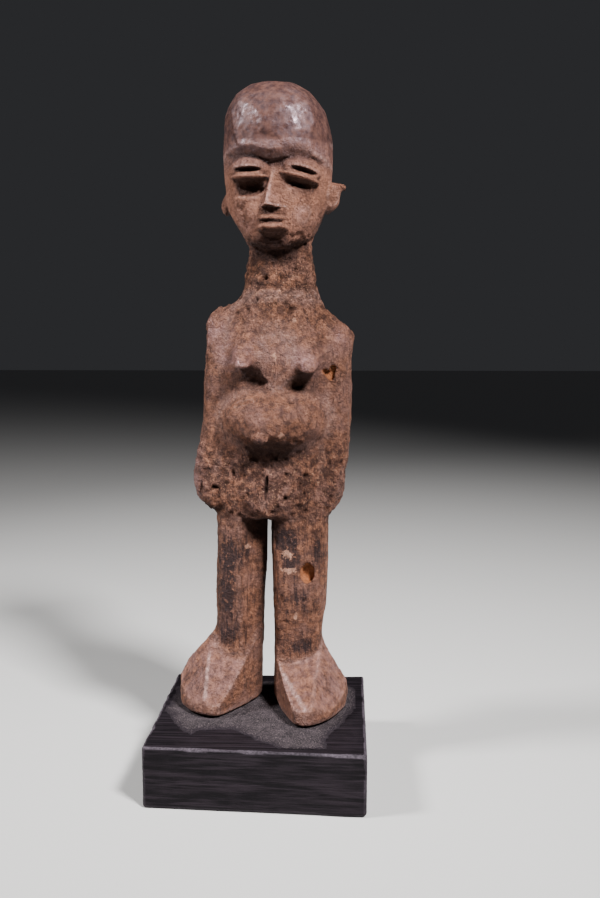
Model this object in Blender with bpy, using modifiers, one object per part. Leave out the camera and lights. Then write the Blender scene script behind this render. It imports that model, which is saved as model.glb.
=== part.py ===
"""A carved wooden standing figure, held by a pin in each foot on a black painted plinth.

Metres, +Z up. The figure faces -Y, +X is on the viewer's right, and the origin is the centre of the
plinth's underside. Left and right are the viewer's.
"""

import math

import bmesh
import bpy
from mathutils import Euler, Matrix, Vector

# Plinth
PLINTH_WIDTH = 0.0700
PLINTH_DEPTH = 0.0723
PLINTH_THICKNESS = 0.0200
PLINTH_FRONT_SKEW = 0.0035  # the left front corner stands this far behind the right one
PLINTH_EDGE = 0.0013  # round worn on every edge

# Bedding and pins
SEAT_GAP = 0.0003  # between faces that rest on each other
BEDDING_THICKNESS = 0.0005
BEDDING_MARGIN = 0.0030  # kept from the plinth's edges
PIN_DIAMETER = 0.0030
PIN_IN_PLINTH = 0.0120
PIN_IN_FIGURE = 0.0180
PIN_CLEARANCE = 0.0003  # round the pin, in every hole that it enters
PIN_CHAMFER = 0.0004

# The figure's place on the plinth and its sideways lean
FIGURE_X = 0.0018
FIGURE_Y = 0.0100
FIGURE_LEAN = 0.0038  # how far the crown stands to the right of the feet

# Heights of the figure's main stations, each above the one before
SOLE_TO_CROTCH = 0.0655
CROTCH_TO_SHOULDER = 0.0715
SHOULDER_TO_CHIN = 0.0175
CHIN_TO_CROWN = 0.0533

# Feet
LEFT_FOOT_WIDTH = 0.0280
LEFT_FOOT_TOE = 0.0205  # reach in front of the leg's axis
LEFT_FOOT_OUT = 0.0077  # how far the foot's middle stands outside the leg's axis
LEFT_INSTEP_HEIGHT = 0.0182  # where the foot's slope meets the front of the leg
RIGHT_FOOT_WIDTH = 0.0262
RIGHT_FOOT_TOE = 0.0278
RIGHT_FOOT_OUT = 0.0045
RIGHT_INSTEP_HEIGHT = 0.0160
FOOT_HEEL = 0.0115  # reach behind the leg's axis
FOOT_RIM = 0.0050  # height of the foot's upright side
OUTER_ANKLE_HEIGHT = 0.0235  # where the foot's outer slope meets the leg
LEFT_ANKLE_BACK = 0.0088  # reach of the ankle behind the leg's axis
RIGHT_ANKLE_BACK = 0.0108
LEFT_HUMP_OUT = 0.0152  # where the outer slope bends, from the leg's axis
LEFT_HUMP_HEIGHT = 0.0168
RIGHT_HUMP_OUT = 0.0105
RIGHT_HUMP_HEIGHT = 0.0180

# Legs
LEG_SPACING = 0.0202  # between the axes of the two legs
ANKLE_WIDTH = 0.0158
ANKLE_DEPTH = 0.0170
KNEE_HEIGHT = 0.0460
KNEE_WIDTH = 0.0172
KNEE_DEPTH = 0.0190
THIGH_WIDTH = 0.0174
THIGH_DEPTH = 0.0205
RIGHT_LEG_THICKER = 0.0010  # the right knee and thigh are this much wider
LEG_FLAT_FACING = math.radians(-39)  # way that the flat on the left leg's inner front looks, from +X
LEG_FLAT_REACH = 0.0059  # from the leg's axis
LEG_FLAT_WIDTH = 0.0130
LEG_FLAT_CUT = 0.0030  # wood pared off in front of it

# Trunk
HIP_ABOVE_CROTCH = 0.0100
WAIST_ABOVE_CROTCH = 0.0330
CHEST_ABOVE_CROTCH = 0.0545
HIP_WIDTH = 0.0430
HIP_DEPTH = 0.0248
HIP_BACK = 0.0154  # reach of the hips behind the figure's axis
HIP_SWAY = -0.0010  # how far the hips stand to the right of the feet, before the lean
CHEST_SWAY = 0.0013  # and the chest and neck
WAIST_WIDTH = 0.0370
WAIST_DEPTH = 0.0250
CHEST_WIDTH = 0.0420
CHEST_DEPTH = 0.0240
BELLY_WIDTH = 0.0318
BELLY_HEIGHT = 0.0228
BELLY_REACH = 0.0074  # in front of the waist
BELLY_ABOVE_CROTCH = 0.0320
NAVEL_DIAMETER = 0.0054
NAVEL_OFFSET = 0.0035  # to the left of the middle
NAVEL_BELOW_BELLY = 0.0050  # under the belly's middle
NAVEL_SUNK = 0.0012  # its middle lies this far behind the belly's front
BREAST_WIDTH = 0.0200
BREAST_TIP_WIDTH = 0.0062
BREAST_LENGTH = 0.0130
BREAST_ROOT_DEPTH = 0.0092  # how deep in the chest its base lies
BREAST_REACH = 0.0055  # in front of the chest
BREAST_SPACING = 0.0220
BREAST_TIP_BELOW_SHOULDER = 0.0225
BREASTBONE_WIDTH = 0.0150
BREASTBONE_DEPTH = 0.0130
BREASTBONE_HEIGHT = 0.0220
BREASTBONE_REACH = 0.0032  # in front of the chest
BREASTBONE_ABOVE_TIPS = 0.0025
UNDER_BREAST_WIDTH = 0.0156  # hollow that undercuts each breast
UNDER_BREAST_DEPTH = 0.0140
UNDER_BREAST_HEIGHT = 0.0066
UNDER_BELLY_WIDTH = 0.0290  # hollow that undercuts the belly
UNDER_BELLY_DEPTH = 0.0180
UNDER_BELLY_HEIGHT = 0.0096
BUTTOCK_WIDTH = 0.0230
BUTTOCK_HEIGHT = 0.0320
BUTTOCK_REACH = 0.0060  # behind the hips
BUTTOCK_ABOVE_CROTCH = 0.0115

# Arms
LEFT_SHOULDER_REACH = 0.0234  # outside of the upper arm, from the figure's middle
RIGHT_SHOULDER_REACH = 0.0258
SHOULDER_SLOPE = 0.0095  # fall from the neck's foot to the shoulder's corner
SHOULDER_ROUND = 0.0013  # how far that corner is drawn in
LEFT_ELBOW_REACH = 0.0245  # outside of the elbow
RIGHT_ELBOW_REACH = 0.0260
LEFT_FOREARM_REACH = 0.0270  # outside of the forearm
RIGHT_FOREARM_REACH = 0.0246
HAND_DRAWN_IN = 0.0040  # how far the hand's side stands inside the forearm's
HAND_TIP_DEPTH = 0.0094
HAND_DEPTH = 0.0153
SHOULDER_TOP_DEPTH = 0.0120
ARM_THICKNESS = 0.0130
ARM_DEPTH = 0.0170
FOREARM_ABOVE_HANDS = 0.0125
ELBOW_ABOVE_HANDS = 0.0380

# Neck
NECK_WIDTH = 0.0222
NECK_DEPTH = 0.0210
NECK_FRONT = 0.0084  # reach of the upper neck in front of its axis
NECK_FOOT_WIDTH = 0.0280

# Head
HEAD_WIDTH = 0.0356
HEAD_DEPTH = 0.0370
DOME_FULLNESS = 0.60  # 1 is a plain ellipse, and less is fuller
CROWN_LEAN = 0.0019  # how far the crown's top stands to the left of the head's middle
HEAD_TURN = math.radians(-4)  # the face looks a little to the viewer's left
CHIN_WIDTH = 0.0120
CHIN_REACH = 0.0117  # front and back of the head's outline, from the neck's axis
CHIN_BACK = 0.0037
JAW_WIDTH = 0.0268
JAW_REACH = 0.0156
JAW_BACK = 0.0130
CHEEK_WIDTH = 0.0338
CHEEK_BACK = 0.0167
BROW_OVERHANG = 0.0034  # how far the brow stands in front of the eyes' plane
BROW_ABOVE_CHIN = 0.0268  # the notch in the brow's lower edge, over the nose
BROW_ARCH = 0.0020  # rise of its two arches over the notch
BROW_FALL = 0.0040  # drop of its ends under the notch
BROW_TILT = 0.0015  # rise of its left end, and drop of its right one
DOME_ABOVE_CHIN = 0.0310
EYE_ABOVE_CHIN = 0.0222
EYE_SPACING = 0.0158
EYE_LENGTH = 0.0116
EYE_HEIGHT = 0.0050
EYE_BULGE = 0.0016
EYE_SUNK = 0.0010  # the eye's middle lies this far behind the face
EYE_WRAP = math.radians(16)  # turn of each eye round the head
EYE_HOLLOW_BELOW = 0.0044  # middle of the hollow under each eye
EYE_HOLLOW_WIDTH = 0.0124
EYE_HOLLOW_DEPTH = 0.0100
EYE_HOLLOW_HEIGHT = 0.0056
EYE_HOLLOW_OUT = 0.0020  # its middle lies this far in front of the face
NOSE_ABOVE_CHIN = 0.0115  # the nose's base
NOSE_LENGTH = 0.0125
NOSE_WIDTH = 0.0086
NOSE_REACH = 0.0053
BRIDGE_WIDTH = 0.0026
BRIDGE_REACH = 0.0014
MOUTH_ABOVE_CHIN = 0.0062
LIP_LENGTH = 0.0104
LIP_HEIGHT = 0.0026
LIP_REACH = 0.0026
UNDER_LIP_WIDTH = 0.0112  # hollow between the lips and the chin
UNDER_LIP_DEPTH = 0.0090
UNDER_LIP_HEIGHT = 0.0038
UNDER_LIP_OUT = 0.0020  # its middle lies this far in front of the jaw
LEFT_EAR_REACH = 0.0020
LEFT_EAR_HEIGHT = 0.0070
RIGHT_EAR_REACH = 0.0046
RIGHT_EAR_HEIGHT = 0.0110
EAR_THICKNESS = 0.0060
EAR_ABOVE_CHIN = 0.0170

# Beetle exit holes, bored from the front
ARM_HOLE_WIDTH = 0.0040
ARM_HOLE_HEIGHT = 0.0048
ARM_HOLE_DEPTH = 0.0070
ARM_HOLE_BELOW_SHOULDER = 0.0240
ARM_HOLE_IN = 0.0012  # its middle lies this far inside the arm's
LEG_HOLE_WIDTH = 0.0045
LEG_HOLE_HEIGHT = 0.0072
LEG_HOLE_DEPTH = 0.0070
LEG_HOLE_OUT = 0.0030  # to the right of the right leg's axis

# Surface of the carving
SKIN_CELL = 0.0009  # grid on which the carved forms run into each other
SKIN_SMOOTHING = 3
SKIN_SHARE_KEPT = 0.064  # of the grid's faces
ARM_SQUARENESS = 2.0
BODY_SQUARENESS = 2.3  # power of the ovals: 2 is an ellipse, and more is squarer
RING_POINTS = 28
BALL_POINTS = 24
PIN_SIDES = 20

# Levels worked out from the sizes above
BEDDING_BOTTOM = PLINTH_THICKNESS + SEAT_GAP
SOLE_LEVEL = BEDDING_BOTTOM + BEDDING_THICKNESS + SEAT_GAP
SHOULDER_LEVEL = SOLE_TO_CROTCH + CROTCH_TO_SHOULDER
CHIN_LEVEL = SHOULDER_LEVEL + SHOULDER_TO_CHIN
CROWN_LEVEL = CHIN_LEVEL + CHIN_TO_CROWN
FIGURE_SEAT = Vector((FIGURE_X, FIGURE_Y, SOLE_LEVEL))


def clear_scene():
    for thing in list(bpy.data.objects):
        bpy.data.objects.remove(thing, do_unlink=True)


def make_collection(name):
    collection = bpy.data.collections.new(name)
    bpy.context.scene.collection.children.link(collection)
    return collection


def make_material(name, colour, roughness, metallic=0.0):
    material = bpy.data.materials.new(name)
    material.use_nodes = True
    shader = material.node_tree.nodes["Principled BSDF"]
    shader.inputs["Base Color"].default_value = (*colour, 1.0)
    shader.inputs["Roughness"].default_value = roughness
    shader.inputs["Metallic"].default_value = metallic
    return material


def make_object(name, form, collection, material=None, parent=None, location=(0, 0, 0)):
    """Turn a bmesh into a named object."""
    mesh = bpy.data.meshes.new(name)
    bmesh.ops.recalc_face_normals(form, faces=form.faces)
    form.to_mesh(mesh)
    form.free()
    thing = bpy.data.objects.new(name, mesh)
    collection.objects.link(thing)
    thing.location = location
    thing.parent = parent
    if material:
        mesh.materials.append(material)
    return thing


def make_empty(name, collection, location):
    empty = bpy.data.objects.new(name, None)
    empty.empty_display_size = PIN_IN_FIGURE
    empty.location = location
    collection.objects.link(empty)
    return empty


def cut(thing, cutter):
    """Take the cutter's shape out of an object."""
    cutter.hide_render = True
    cutter.display_type = "WIRE"
    modifier = thing.modifiers.new("cut_" + cutter.name, "BOOLEAN")
    modifier.operation = "DIFFERENCE"
    modifier.solver = "EXACT"
    modifier.object = cutter


def shade_smooth(thing, sharp_from=math.radians(35)):
    thing.data.shade_smooth()
    thing.data.set_sharp_from_angle(angle=sharp_from)


def rod_form(diameter, length, sides=PIN_SIDES):
    """An upright rod that stands on its origin."""
    form = bmesh.new()
    lift = Matrix.Translation((0, 0, length / 2))
    bmesh.ops.create_cone(form, cap_ends=True, segments=sides, radius1=diameter / 2,
                          radius2=diameter / 2, depth=length, matrix=lift)
    return form


# Shapes that the carving is put together from


def ring(x, y, z, width, front, back, power=BODY_SQUARENESS):
    """A level oval: front and back are its reaches from (x, y), and a higher power squares it."""
    points = []
    for step in range(RING_POINTS):
        angle = 2 * math.pi * step / RING_POINTS
        across = math.copysign(abs(math.cos(angle)) ** (2 / power), math.cos(angle))
        along = math.copysign(abs(math.sin(angle)) ** (2 / power), math.sin(angle))
        reach = back if along > 0 else front
        points.append(Vector((x + across * width / 2, y + along * reach, z)))
    return points


def add_loft(form, rings):
    """Skin a row of rings, closed at both ends."""
    rows = [[form.verts.new(point) for point in points] for points in rings]
    for lower, upper in zip(rows, rows[1:]):
        for here in range(RING_POINTS):
            after = (here + 1) % RING_POINTS
            form.faces.new((lower[here], lower[after], upper[after], upper[here]))
    form.faces.new(list(reversed(rows[0])))
    form.faces.new(rows[-1])


def add_cone(form, base, base_width, tip, tip_width):
    """A blunt cone from the middle of its base to the middle of its tip."""
    axis = Vector(tip) - Vector(base)
    aimed = axis.to_track_quat("Z", "Y").to_matrix().to_4x4()
    placed = Matrix.Translation((Vector(base) + Vector(tip)) / 2) @ aimed
    bmesh.ops.create_cone(form, cap_ends=True, segments=RING_POINTS, radius1=base_width / 2,
                          radius2=tip_width / 2, depth=axis.length, matrix=placed)


def add_ellipsoid(form, centre, size, turn=(0, 0, 0)):
    """An ellipsoid of the given full width, depth and height, turned about its centre."""
    placed = Matrix.Translation(centre) @ Euler(turn).to_matrix().to_4x4()
    stretched = Matrix.Diagonal((size[0] / 2, size[1] / 2, size[2] / 2, 1))
    bmesh.ops.create_uvsphere(form, u_segments=BALL_POINTS, v_segments=BALL_POINTS // 2, radius=1.0,
                              matrix=placed @ stretched)


def absorb(form, other):
    """Add one form to another, and let it go."""
    mesh = bpy.data.meshes.new("passing")
    other.to_mesh(mesh)
    other.free()
    form.from_mesh(mesh)
    bpy.data.meshes.remove(mesh)


def add_hull(form, corners):
    """The tightest block with flat sides that holds every corner."""
    block = bmesh.new()
    for corner in corners:
        block.verts.new(corner)
    wrapped = bmesh.ops.convex_hull(block, input=block.verts)
    spare = {item for item in wrapped["geom_interior"] if isinstance(item, bmesh.types.BMVert)}
    bmesh.ops.delete(block, geom=list(spare), context="VERTS")
    absorb(form, block)


# The carving


def sole_corners(side):
    """Corners of a sole: across in half widths from its middle, along in toe (-) or heel (+) reaches."""
    if side < 0:
        return [
            (0.14, -1.0), (-0.34, -0.95), (-0.80, -0.65), (-1.0, -0.15), (-0.90, 0.45),
            (-0.45, 1.0), (0.70, 1.0), (1.0, 0.5), (1.0, -0.05), (0.78, -0.42),
        ]
    return [
        (-0.12, -1.0), (0.37, -0.89), (0.80, -0.55), (1.0, -0.1), (0.90, 0.45), (0.50, 1.0),
        (-0.65, 1.0), (-1.0, 0.5), (-0.95, -0.2), (-0.56, -0.8), (-0.40, -0.97),
    ]


def sole_ring(side, middle_x, level, width, toe):
    """The outline of a sole, at a level."""
    points = []
    for across, along in sole_corners(side):
        reach = toe if along < 0 else FOOT_HEEL
        points.append(Vector((middle_x + across * width / 2, along * reach, level)))
    return points


def add_leg_and_foot(form, side, foot_size, ankle_size, thicker):
    """One leg, standing in a wedge of a foot with flat slopes down to its rim."""
    foot_width, toe, foot_out = foot_size
    instep, ankle_back, hump_out, hump_height = ankle_size
    leg_x = side * LEG_SPACING / 2
    foot_x = leg_x + side * foot_out
    half_depth = ANKLE_DEPTH / 2
    outer_x = leg_x + side * ANKLE_WIDTH / 2
    inner_x = leg_x - side * ANKLE_WIDTH / 2
    ground = sole_ring(side, foot_x, 0, foot_width, toe)
    rim = sole_ring(side, foot_x, FOOT_RIM, foot_width, toe)
    ankle = [
        Vector((leg_x, -half_depth, instep)),
        Vector((outer_x, -half_depth, instep)),
        Vector((outer_x, 0, OUTER_ANKLE_HEIGHT)),
        Vector((leg_x + side * hump_out, 0, hump_height)),
        Vector((outer_x, ankle_back, instep)),
        Vector((leg_x, ankle_back, OUTER_ANKLE_HEIGHT)),
        Vector((inner_x, ankle_back, instep)),
    ]
    add_hull(form, ground + rim + ankle)
    knee_width = KNEE_WIDTH + thicker
    thigh_width = THIGH_WIDTH + thicker
    above_crotch = SOLE_TO_CROTCH + HIP_DEPTH / 2
    add_loft(form, [
        ring(leg_x, 0, FOOT_RIM, ANKLE_WIDTH, half_depth, half_depth),
        ring(leg_x, 0, instep, ANKLE_WIDTH, half_depth, half_depth),
        ring(leg_x, 0, KNEE_HEIGHT, knee_width, KNEE_DEPTH / 2, KNEE_DEPTH / 2),
        ring(leg_x, 0, SOLE_TO_CROTCH, thigh_width, THIGH_DEPTH / 2, THIGH_DEPTH / 2),
        ring(leg_x, 0, above_crotch, thigh_width, THIGH_DEPTH / 2, THIGH_DEPTH / 2),
    ])


def add_trunk(form):
    hips = SOLE_TO_CROTCH + HIP_ABOVE_CROTCH
    waist = SOLE_TO_CROTCH + WAIST_ABOVE_CROTCH
    chest = SOLE_TO_CROTCH + CHEST_ABOVE_CROTCH
    shoulders = SHOULDER_LEVEL - SHOULDER_SLOPE
    half_hip, half_waist, half_chest = HIP_DEPTH / 2, WAIST_DEPTH / 2, CHEST_DEPTH / 2
    half_neck = NECK_DEPTH / 2
    neck_foot = (NECK_FOOT_WIDTH, (half_neck + NECK_FRONT) / 2, half_neck)
    low_back = (HIP_BACK + half_hip) / 2
    add_loft(form, [
        ring(0, 0, SOLE_TO_CROTCH, LEG_SPACING, THIGH_DEPTH / 2, THIGH_DEPTH / 2),
        ring(HIP_SWAY, 0, (SOLE_TO_CROTCH + hips) / 2, HIP_WIDTH, half_hip, low_back),
        ring(HIP_SWAY, 0, hips, HIP_WIDTH, half_hip, HIP_BACK),
        ring(HIP_SWAY / 2, 0, (hips + waist) / 2, (HIP_WIDTH + WAIST_WIDTH) / 2, half_waist, low_back),
        ring(0, 0, waist, WAIST_WIDTH, half_waist, half_waist),
        ring(CHEST_SWAY, 0, chest, CHEST_WIDTH, half_chest, half_chest),
        ring(CHEST_SWAY, 0, shoulders, CHEST_WIDTH, half_chest, half_chest),
        ring(CHEST_SWAY, 0, SHOULDER_LEVEL, *neck_foot),
    ])
    add_loft(form, [
        ring(CHEST_SWAY, 0, chest, *neck_foot),
        ring(CHEST_SWAY, 0, SHOULDER_LEVEL, *neck_foot),
        ring(CHEST_SWAY, 0, (SHOULDER_LEVEL + CHIN_LEVEL) / 2, NECK_WIDTH, NECK_FRONT, half_neck),
        ring(CHEST_SWAY / 2, 0, CHIN_LEVEL + CHIN_WIDTH, NECK_WIDTH, NECK_FRONT, half_neck),
    ])
    belly = Vector((0, -half_waist, SOLE_TO_CROTCH + BELLY_ABOVE_CROTCH))
    add_ellipsoid(form, belly, (BELLY_WIDTH, 2 * BELLY_REACH, BELLY_HEIGHT))
    navel = belly + Vector((-NAVEL_OFFSET, NAVEL_SUNK - BELLY_REACH, -NAVEL_BELOW_BELLY))
    add_ellipsoid(form, navel, (NAVEL_DIAMETER,) * 3)
    breast_tip = SHOULDER_LEVEL - BREAST_TIP_BELOW_SHOULDER
    bone_y = BREASTBONE_DEPTH / 2 - half_chest - BREASTBONE_REACH
    bone = (CHEST_SWAY, bone_y, breast_tip + BREASTBONE_ABOVE_TIPS)
    add_ellipsoid(form, bone, (BREASTBONE_WIDTH, BREASTBONE_DEPTH, BREASTBONE_HEIGHT))
    for side in (-1, 1):
        tip_x = CHEST_SWAY + side * BREAST_SPACING / 2
        tip = Vector((tip_x, -half_chest - BREAST_REACH, breast_tip))
        run_back = BREAST_REACH + BREAST_ROOT_DEPTH
        base = tip + Vector((-side * BREAST_TIP_WIDTH / 2, run_back, BREAST_LENGTH))
        add_cone(form, base, BREAST_WIDTH, tip, BREAST_TIP_WIDTH)
        buttock = (HIP_SWAY + side * BUTTOCK_WIDTH / 2, BUTTOCK_REACH, SOLE_TO_CROTCH + BUTTOCK_ABOVE_CROTCH)
        add_ellipsoid(form, buttock, (BUTTOCK_WIDTH, HIP_DEPTH, BUTTOCK_HEIGHT))


def add_arm(form, side, shoulder_reach, elbow_reach, forearm_reach):
    """One arm, lying along the trunk from the shoulder to a rounded hand at the hip."""
    half_thickness = ARM_THICKNESS / 2
    hand_reach = forearm_reach - HAND_DRAWN_IN
    hand_level = SOLE_TO_CROTCH + half_thickness / 2
    forearm_level = SOLE_TO_CROTCH + FOREARM_ABOVE_HANDS
    elbow_level = SOLE_TO_CROTCH + ELBOW_ABOVE_HANDS
    corner_level = SHOULDER_LEVEL - SHOULDER_SLOPE
    slope_level = SHOULDER_LEVEL - SHOULDER_SLOPE / 2
    slope_reach = (NECK_FOOT_WIDTH + ARM_THICKNESS) / 2

    def station(level, reach, thickness, depth):
        middle = side * (reach - thickness / 2)
        return ring(middle, 0, level, thickness, depth / 2, depth / 2, ARM_SQUARENESS)

    add_loft(form, [
        station(SOLE_TO_CROTCH, hand_reach, half_thickness, HAND_TIP_DEPTH),
        station(hand_level, hand_reach, ARM_THICKNESS, HAND_DEPTH),
        station(forearm_level, forearm_reach, ARM_THICKNESS, ARM_DEPTH),
        station(elbow_level, elbow_reach, ARM_THICKNESS, ARM_DEPTH),
        station(corner_level - half_thickness, shoulder_reach, ARM_THICKNESS, ARM_DEPTH),
        station(corner_level, shoulder_reach - SHOULDER_ROUND, ARM_THICKNESS, ARM_DEPTH),
        station(slope_level, slope_reach, ARM_THICKNESS, HAND_DEPTH),
        station(SHOULDER_LEVEL, NECK_FOOT_WIDTH / 2, half_thickness, SHOULDER_TOP_DEPTH),
    ])


def brow_ring(level, width, half_depth):
    """Lower edge of the forehead: two arches over a notch, falling away at the sides."""
    points = ring(0, 0, level, width, half_depth, half_depth)
    for point in points:
        out = point.x / (width / 2)
        point.z += BROW_ARCH * math.sin(math.pi * abs(out)) - BROW_FALL * out ** 4 - BROW_TILT * out
    return points


def add_head(form):
    """The head with its face, built upright and then turned about the neck."""
    head = bmesh.new()
    half_depth = HEAD_DEPTH / 2
    brow = CHIN_LEVEL + BROW_ABOVE_CHIN
    eyes = CHIN_LEVEL + EYE_ABOVE_CHIN
    mouth = CHIN_LEVEL + MOUTH_ABOVE_CHIN
    dome_foot = CHIN_LEVEL + DOME_ABOVE_CHIN
    dome = CROWN_LEVEL - dome_foot
    face = half_depth - BROW_OVERHANG
    under_lip_width = (CHIN_WIDTH + JAW_WIDTH) / 2
    under_lip_reach = (CHIN_REACH + 2 * JAW_REACH) / 3
    under_lip_back = (CHIN_BACK + JAW_BACK) / 2
    add_loft(head, [
        ring(0, 0, CHIN_LEVEL, CHIN_WIDTH, CHIN_REACH, CHIN_BACK),
        ring(0, 0, (CHIN_LEVEL + mouth) / 2, under_lip_width, under_lip_reach, under_lip_back),
        ring(0, 0, mouth, JAW_WIDTH, JAW_REACH, JAW_BACK),
        ring(0, 0, (mouth + eyes) / 2, CHEEK_WIDTH, face, CHEEK_BACK),
        ring(0, 0, eyes, HEAD_WIDTH, face, half_depth),
        ring(0, 0, dome_foot, HEAD_WIDTH, face, half_depth),
    ])
    ledge = 2 * BROW_OVERHANG
    cap = [
        brow_ring(brow, HEAD_WIDTH - 2 * ledge, half_depth - ledge),
        brow_ring(brow, HEAD_WIDTH, half_depth),
        ring(0, 0, dome_foot, HEAD_WIDTH, half_depth, half_depth),
    ]
    for angle in (25, 45, 62, 76, 86):
        up = math.sin(math.radians(angle))
        shrink = math.cos(math.radians(angle)) ** DOME_FULLNESS
        reach = half_depth * shrink
        cap.append(ring(-CROWN_LEAN * up ** 2, 0, dome_foot + dome * up, HEAD_WIDTH * shrink, reach, reach))
    add_loft(head, cap)
    nose_base = CHIN_LEVEL + NOSE_ABOVE_CHIN
    add_loft(head, [
        ring(0, -face, nose_base, NOSE_WIDTH, NOSE_REACH, NOSE_REACH),
        ring(0, -face, nose_base + NOSE_LENGTH, BRIDGE_WIDTH, BRIDGE_REACH, NOSE_REACH),
    ])
    for lip in (-1, 1):
        lip_level = mouth + lip * LIP_HEIGHT / 2
        add_ellipsoid(head, (0, -JAW_REACH, lip_level), (LIP_LENGTH, 2 * LIP_REACH, LIP_HEIGHT))
    ears = ((-1, LEFT_EAR_REACH, LEFT_EAR_HEIGHT), (1, RIGHT_EAR_REACH, RIGHT_EAR_HEIGHT))
    for side, ear_reach, ear_height in ears:
        eye = (side * EYE_SPACING / 2, EYE_SUNK - face, eyes)
        eye_size = (EYE_LENGTH, 2 * (EYE_BULGE + EYE_SUNK), EYE_HEIGHT)
        add_ellipsoid(head, eye, eye_size, (0, 0, side * EYE_WRAP))
        ear = (side * HEAD_WIDTH / 2, 0, CHIN_LEVEL + EAR_ABOVE_CHIN)
        add_ellipsoid(head, ear, (2 * ear_reach, EAR_THICKNESS, ear_height))
    turned = Matrix.Rotation(HEAD_TURN, 4, "Z")
    bmesh.ops.transform(head, matrix=turned, verts=head.verts)
    absorb(form, head)


def lean_at(level):
    """How far the figure's middle stands to the right at a height above the soles."""
    return FIGURE_LEAN * level / CROWN_LEVEL


def front_hole(name, place, width, height, depth, collection, parent):
    """An oval cutter that enters from the front at a place and goes in by its depth."""
    form = rod_form(1.0, 1.0)
    lie_back = Matrix.Rotation(math.radians(-90), 4, "X")
    bmesh.ops.transform(form, matrix=lie_back, verts=form.verts)
    run_in = HIP_DEPTH
    stretched = Matrix.Translation((0, -run_in, 0)) @ Matrix.Diagonal((width, run_in + depth, height, 1))
    bmesh.ops.transform(form, matrix=stretched, verts=form.verts)
    return make_object(name, form, collection, parent=parent, location=place)


def hollow(name, centre, size, collection, parent):
    """An ellipsoid cutter of the given full width, depth and height."""
    form = bmesh.new()
    add_ellipsoid(form, (0, 0, 0), size)
    place = Vector(centre) + Vector((lean_at(centre[2]), 0, 0))
    return make_object(name, form, collection, parent=parent, location=place)


def leg_flat(collection, parent):
    """A bar that pares the left leg's inner front corner, from the instep to the crotch."""
    level = (LEFT_INSTEP_HEIGHT + SOLE_TO_CROTCH) / 2
    bar = (LEG_FLAT_CUT, LEG_FLAT_WIDTH, SOLE_TO_CROTCH - LEFT_INSTEP_HEIGHT, 1)
    pushed = Matrix.Translation((LEG_FLAT_REACH + LEG_FLAT_CUT / 2, 0, 0)) @ Matrix.Diagonal(bar)
    form = bmesh.new()
    bmesh.ops.create_cube(form, size=1.0, matrix=Matrix.Rotation(LEG_FLAT_FACING, 4, "Z") @ pushed)
    place = (lean_at(level) - LEG_SPACING / 2, 0, level)
    return make_object("leg_flat", form, collection, parent=parent, location=place)


def hollows(cutters, lift):
    """Cutters that undercut the eyes, the lips, the breasts and the belly."""
    turned = Matrix.Rotation(HEAD_TURN, 4, "Z")
    face = HEAD_DEPTH / 2 - BROW_OVERHANG
    under_eye = CHIN_LEVEL + EYE_ABOVE_CHIN - EYE_HOLLOW_BELOW
    made = []
    breast_front = -CHEST_DEPTH / 2 - BREAST_REACH
    breast_tip = SHOULDER_LEVEL - BREAST_TIP_BELOW_SHOULDER
    for side, name in ((-1, "left"), (1, "right")):
        eye = (side * EYE_SPACING / 2, -face - EYE_HOLLOW_OUT, under_eye)
        eye_size = (EYE_HOLLOW_WIDTH, EYE_HOLLOW_DEPTH, EYE_HOLLOW_HEIGHT)
        made.append(hollow(name + "_eye_hollow", turned @ Vector(eye), eye_size, cutters, lift))
        breast_x = CHEST_SWAY + side * (BREAST_SPACING - BREAST_TIP_WIDTH / 2) / 2
        breast = (breast_x, breast_front, breast_tip - UNDER_BREAST_HEIGHT / 2)
        breast_size = (UNDER_BREAST_WIDTH, UNDER_BREAST_DEPTH, UNDER_BREAST_HEIGHT)
        made.append(hollow(name + "_under_breast", breast, breast_size, cutters, lift))
    lip = (0, -JAW_REACH - UNDER_LIP_OUT, CHIN_LEVEL + UNDER_LIP_HEIGHT / 2)
    lip_size = (UNDER_LIP_WIDTH, UNDER_LIP_DEPTH, UNDER_LIP_HEIGHT)
    made.append(hollow("under_lip", turned @ Vector(lip), lip_size, cutters, lift))
    belly_front = -WAIST_DEPTH / 2 - BELLY_REACH
    belly_bottom = SOLE_TO_CROTCH + BELLY_ABOVE_CROTCH - BELLY_HEIGHT / 2 - UNDER_BELLY_HEIGHT / 8
    belly_size = (UNDER_BELLY_WIDTH, UNDER_BELLY_DEPTH, UNDER_BELLY_HEIGHT)
    made.append(hollow("under_belly", (0, belly_front, belly_bottom), belly_size, cutters, lift))
    return made


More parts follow.
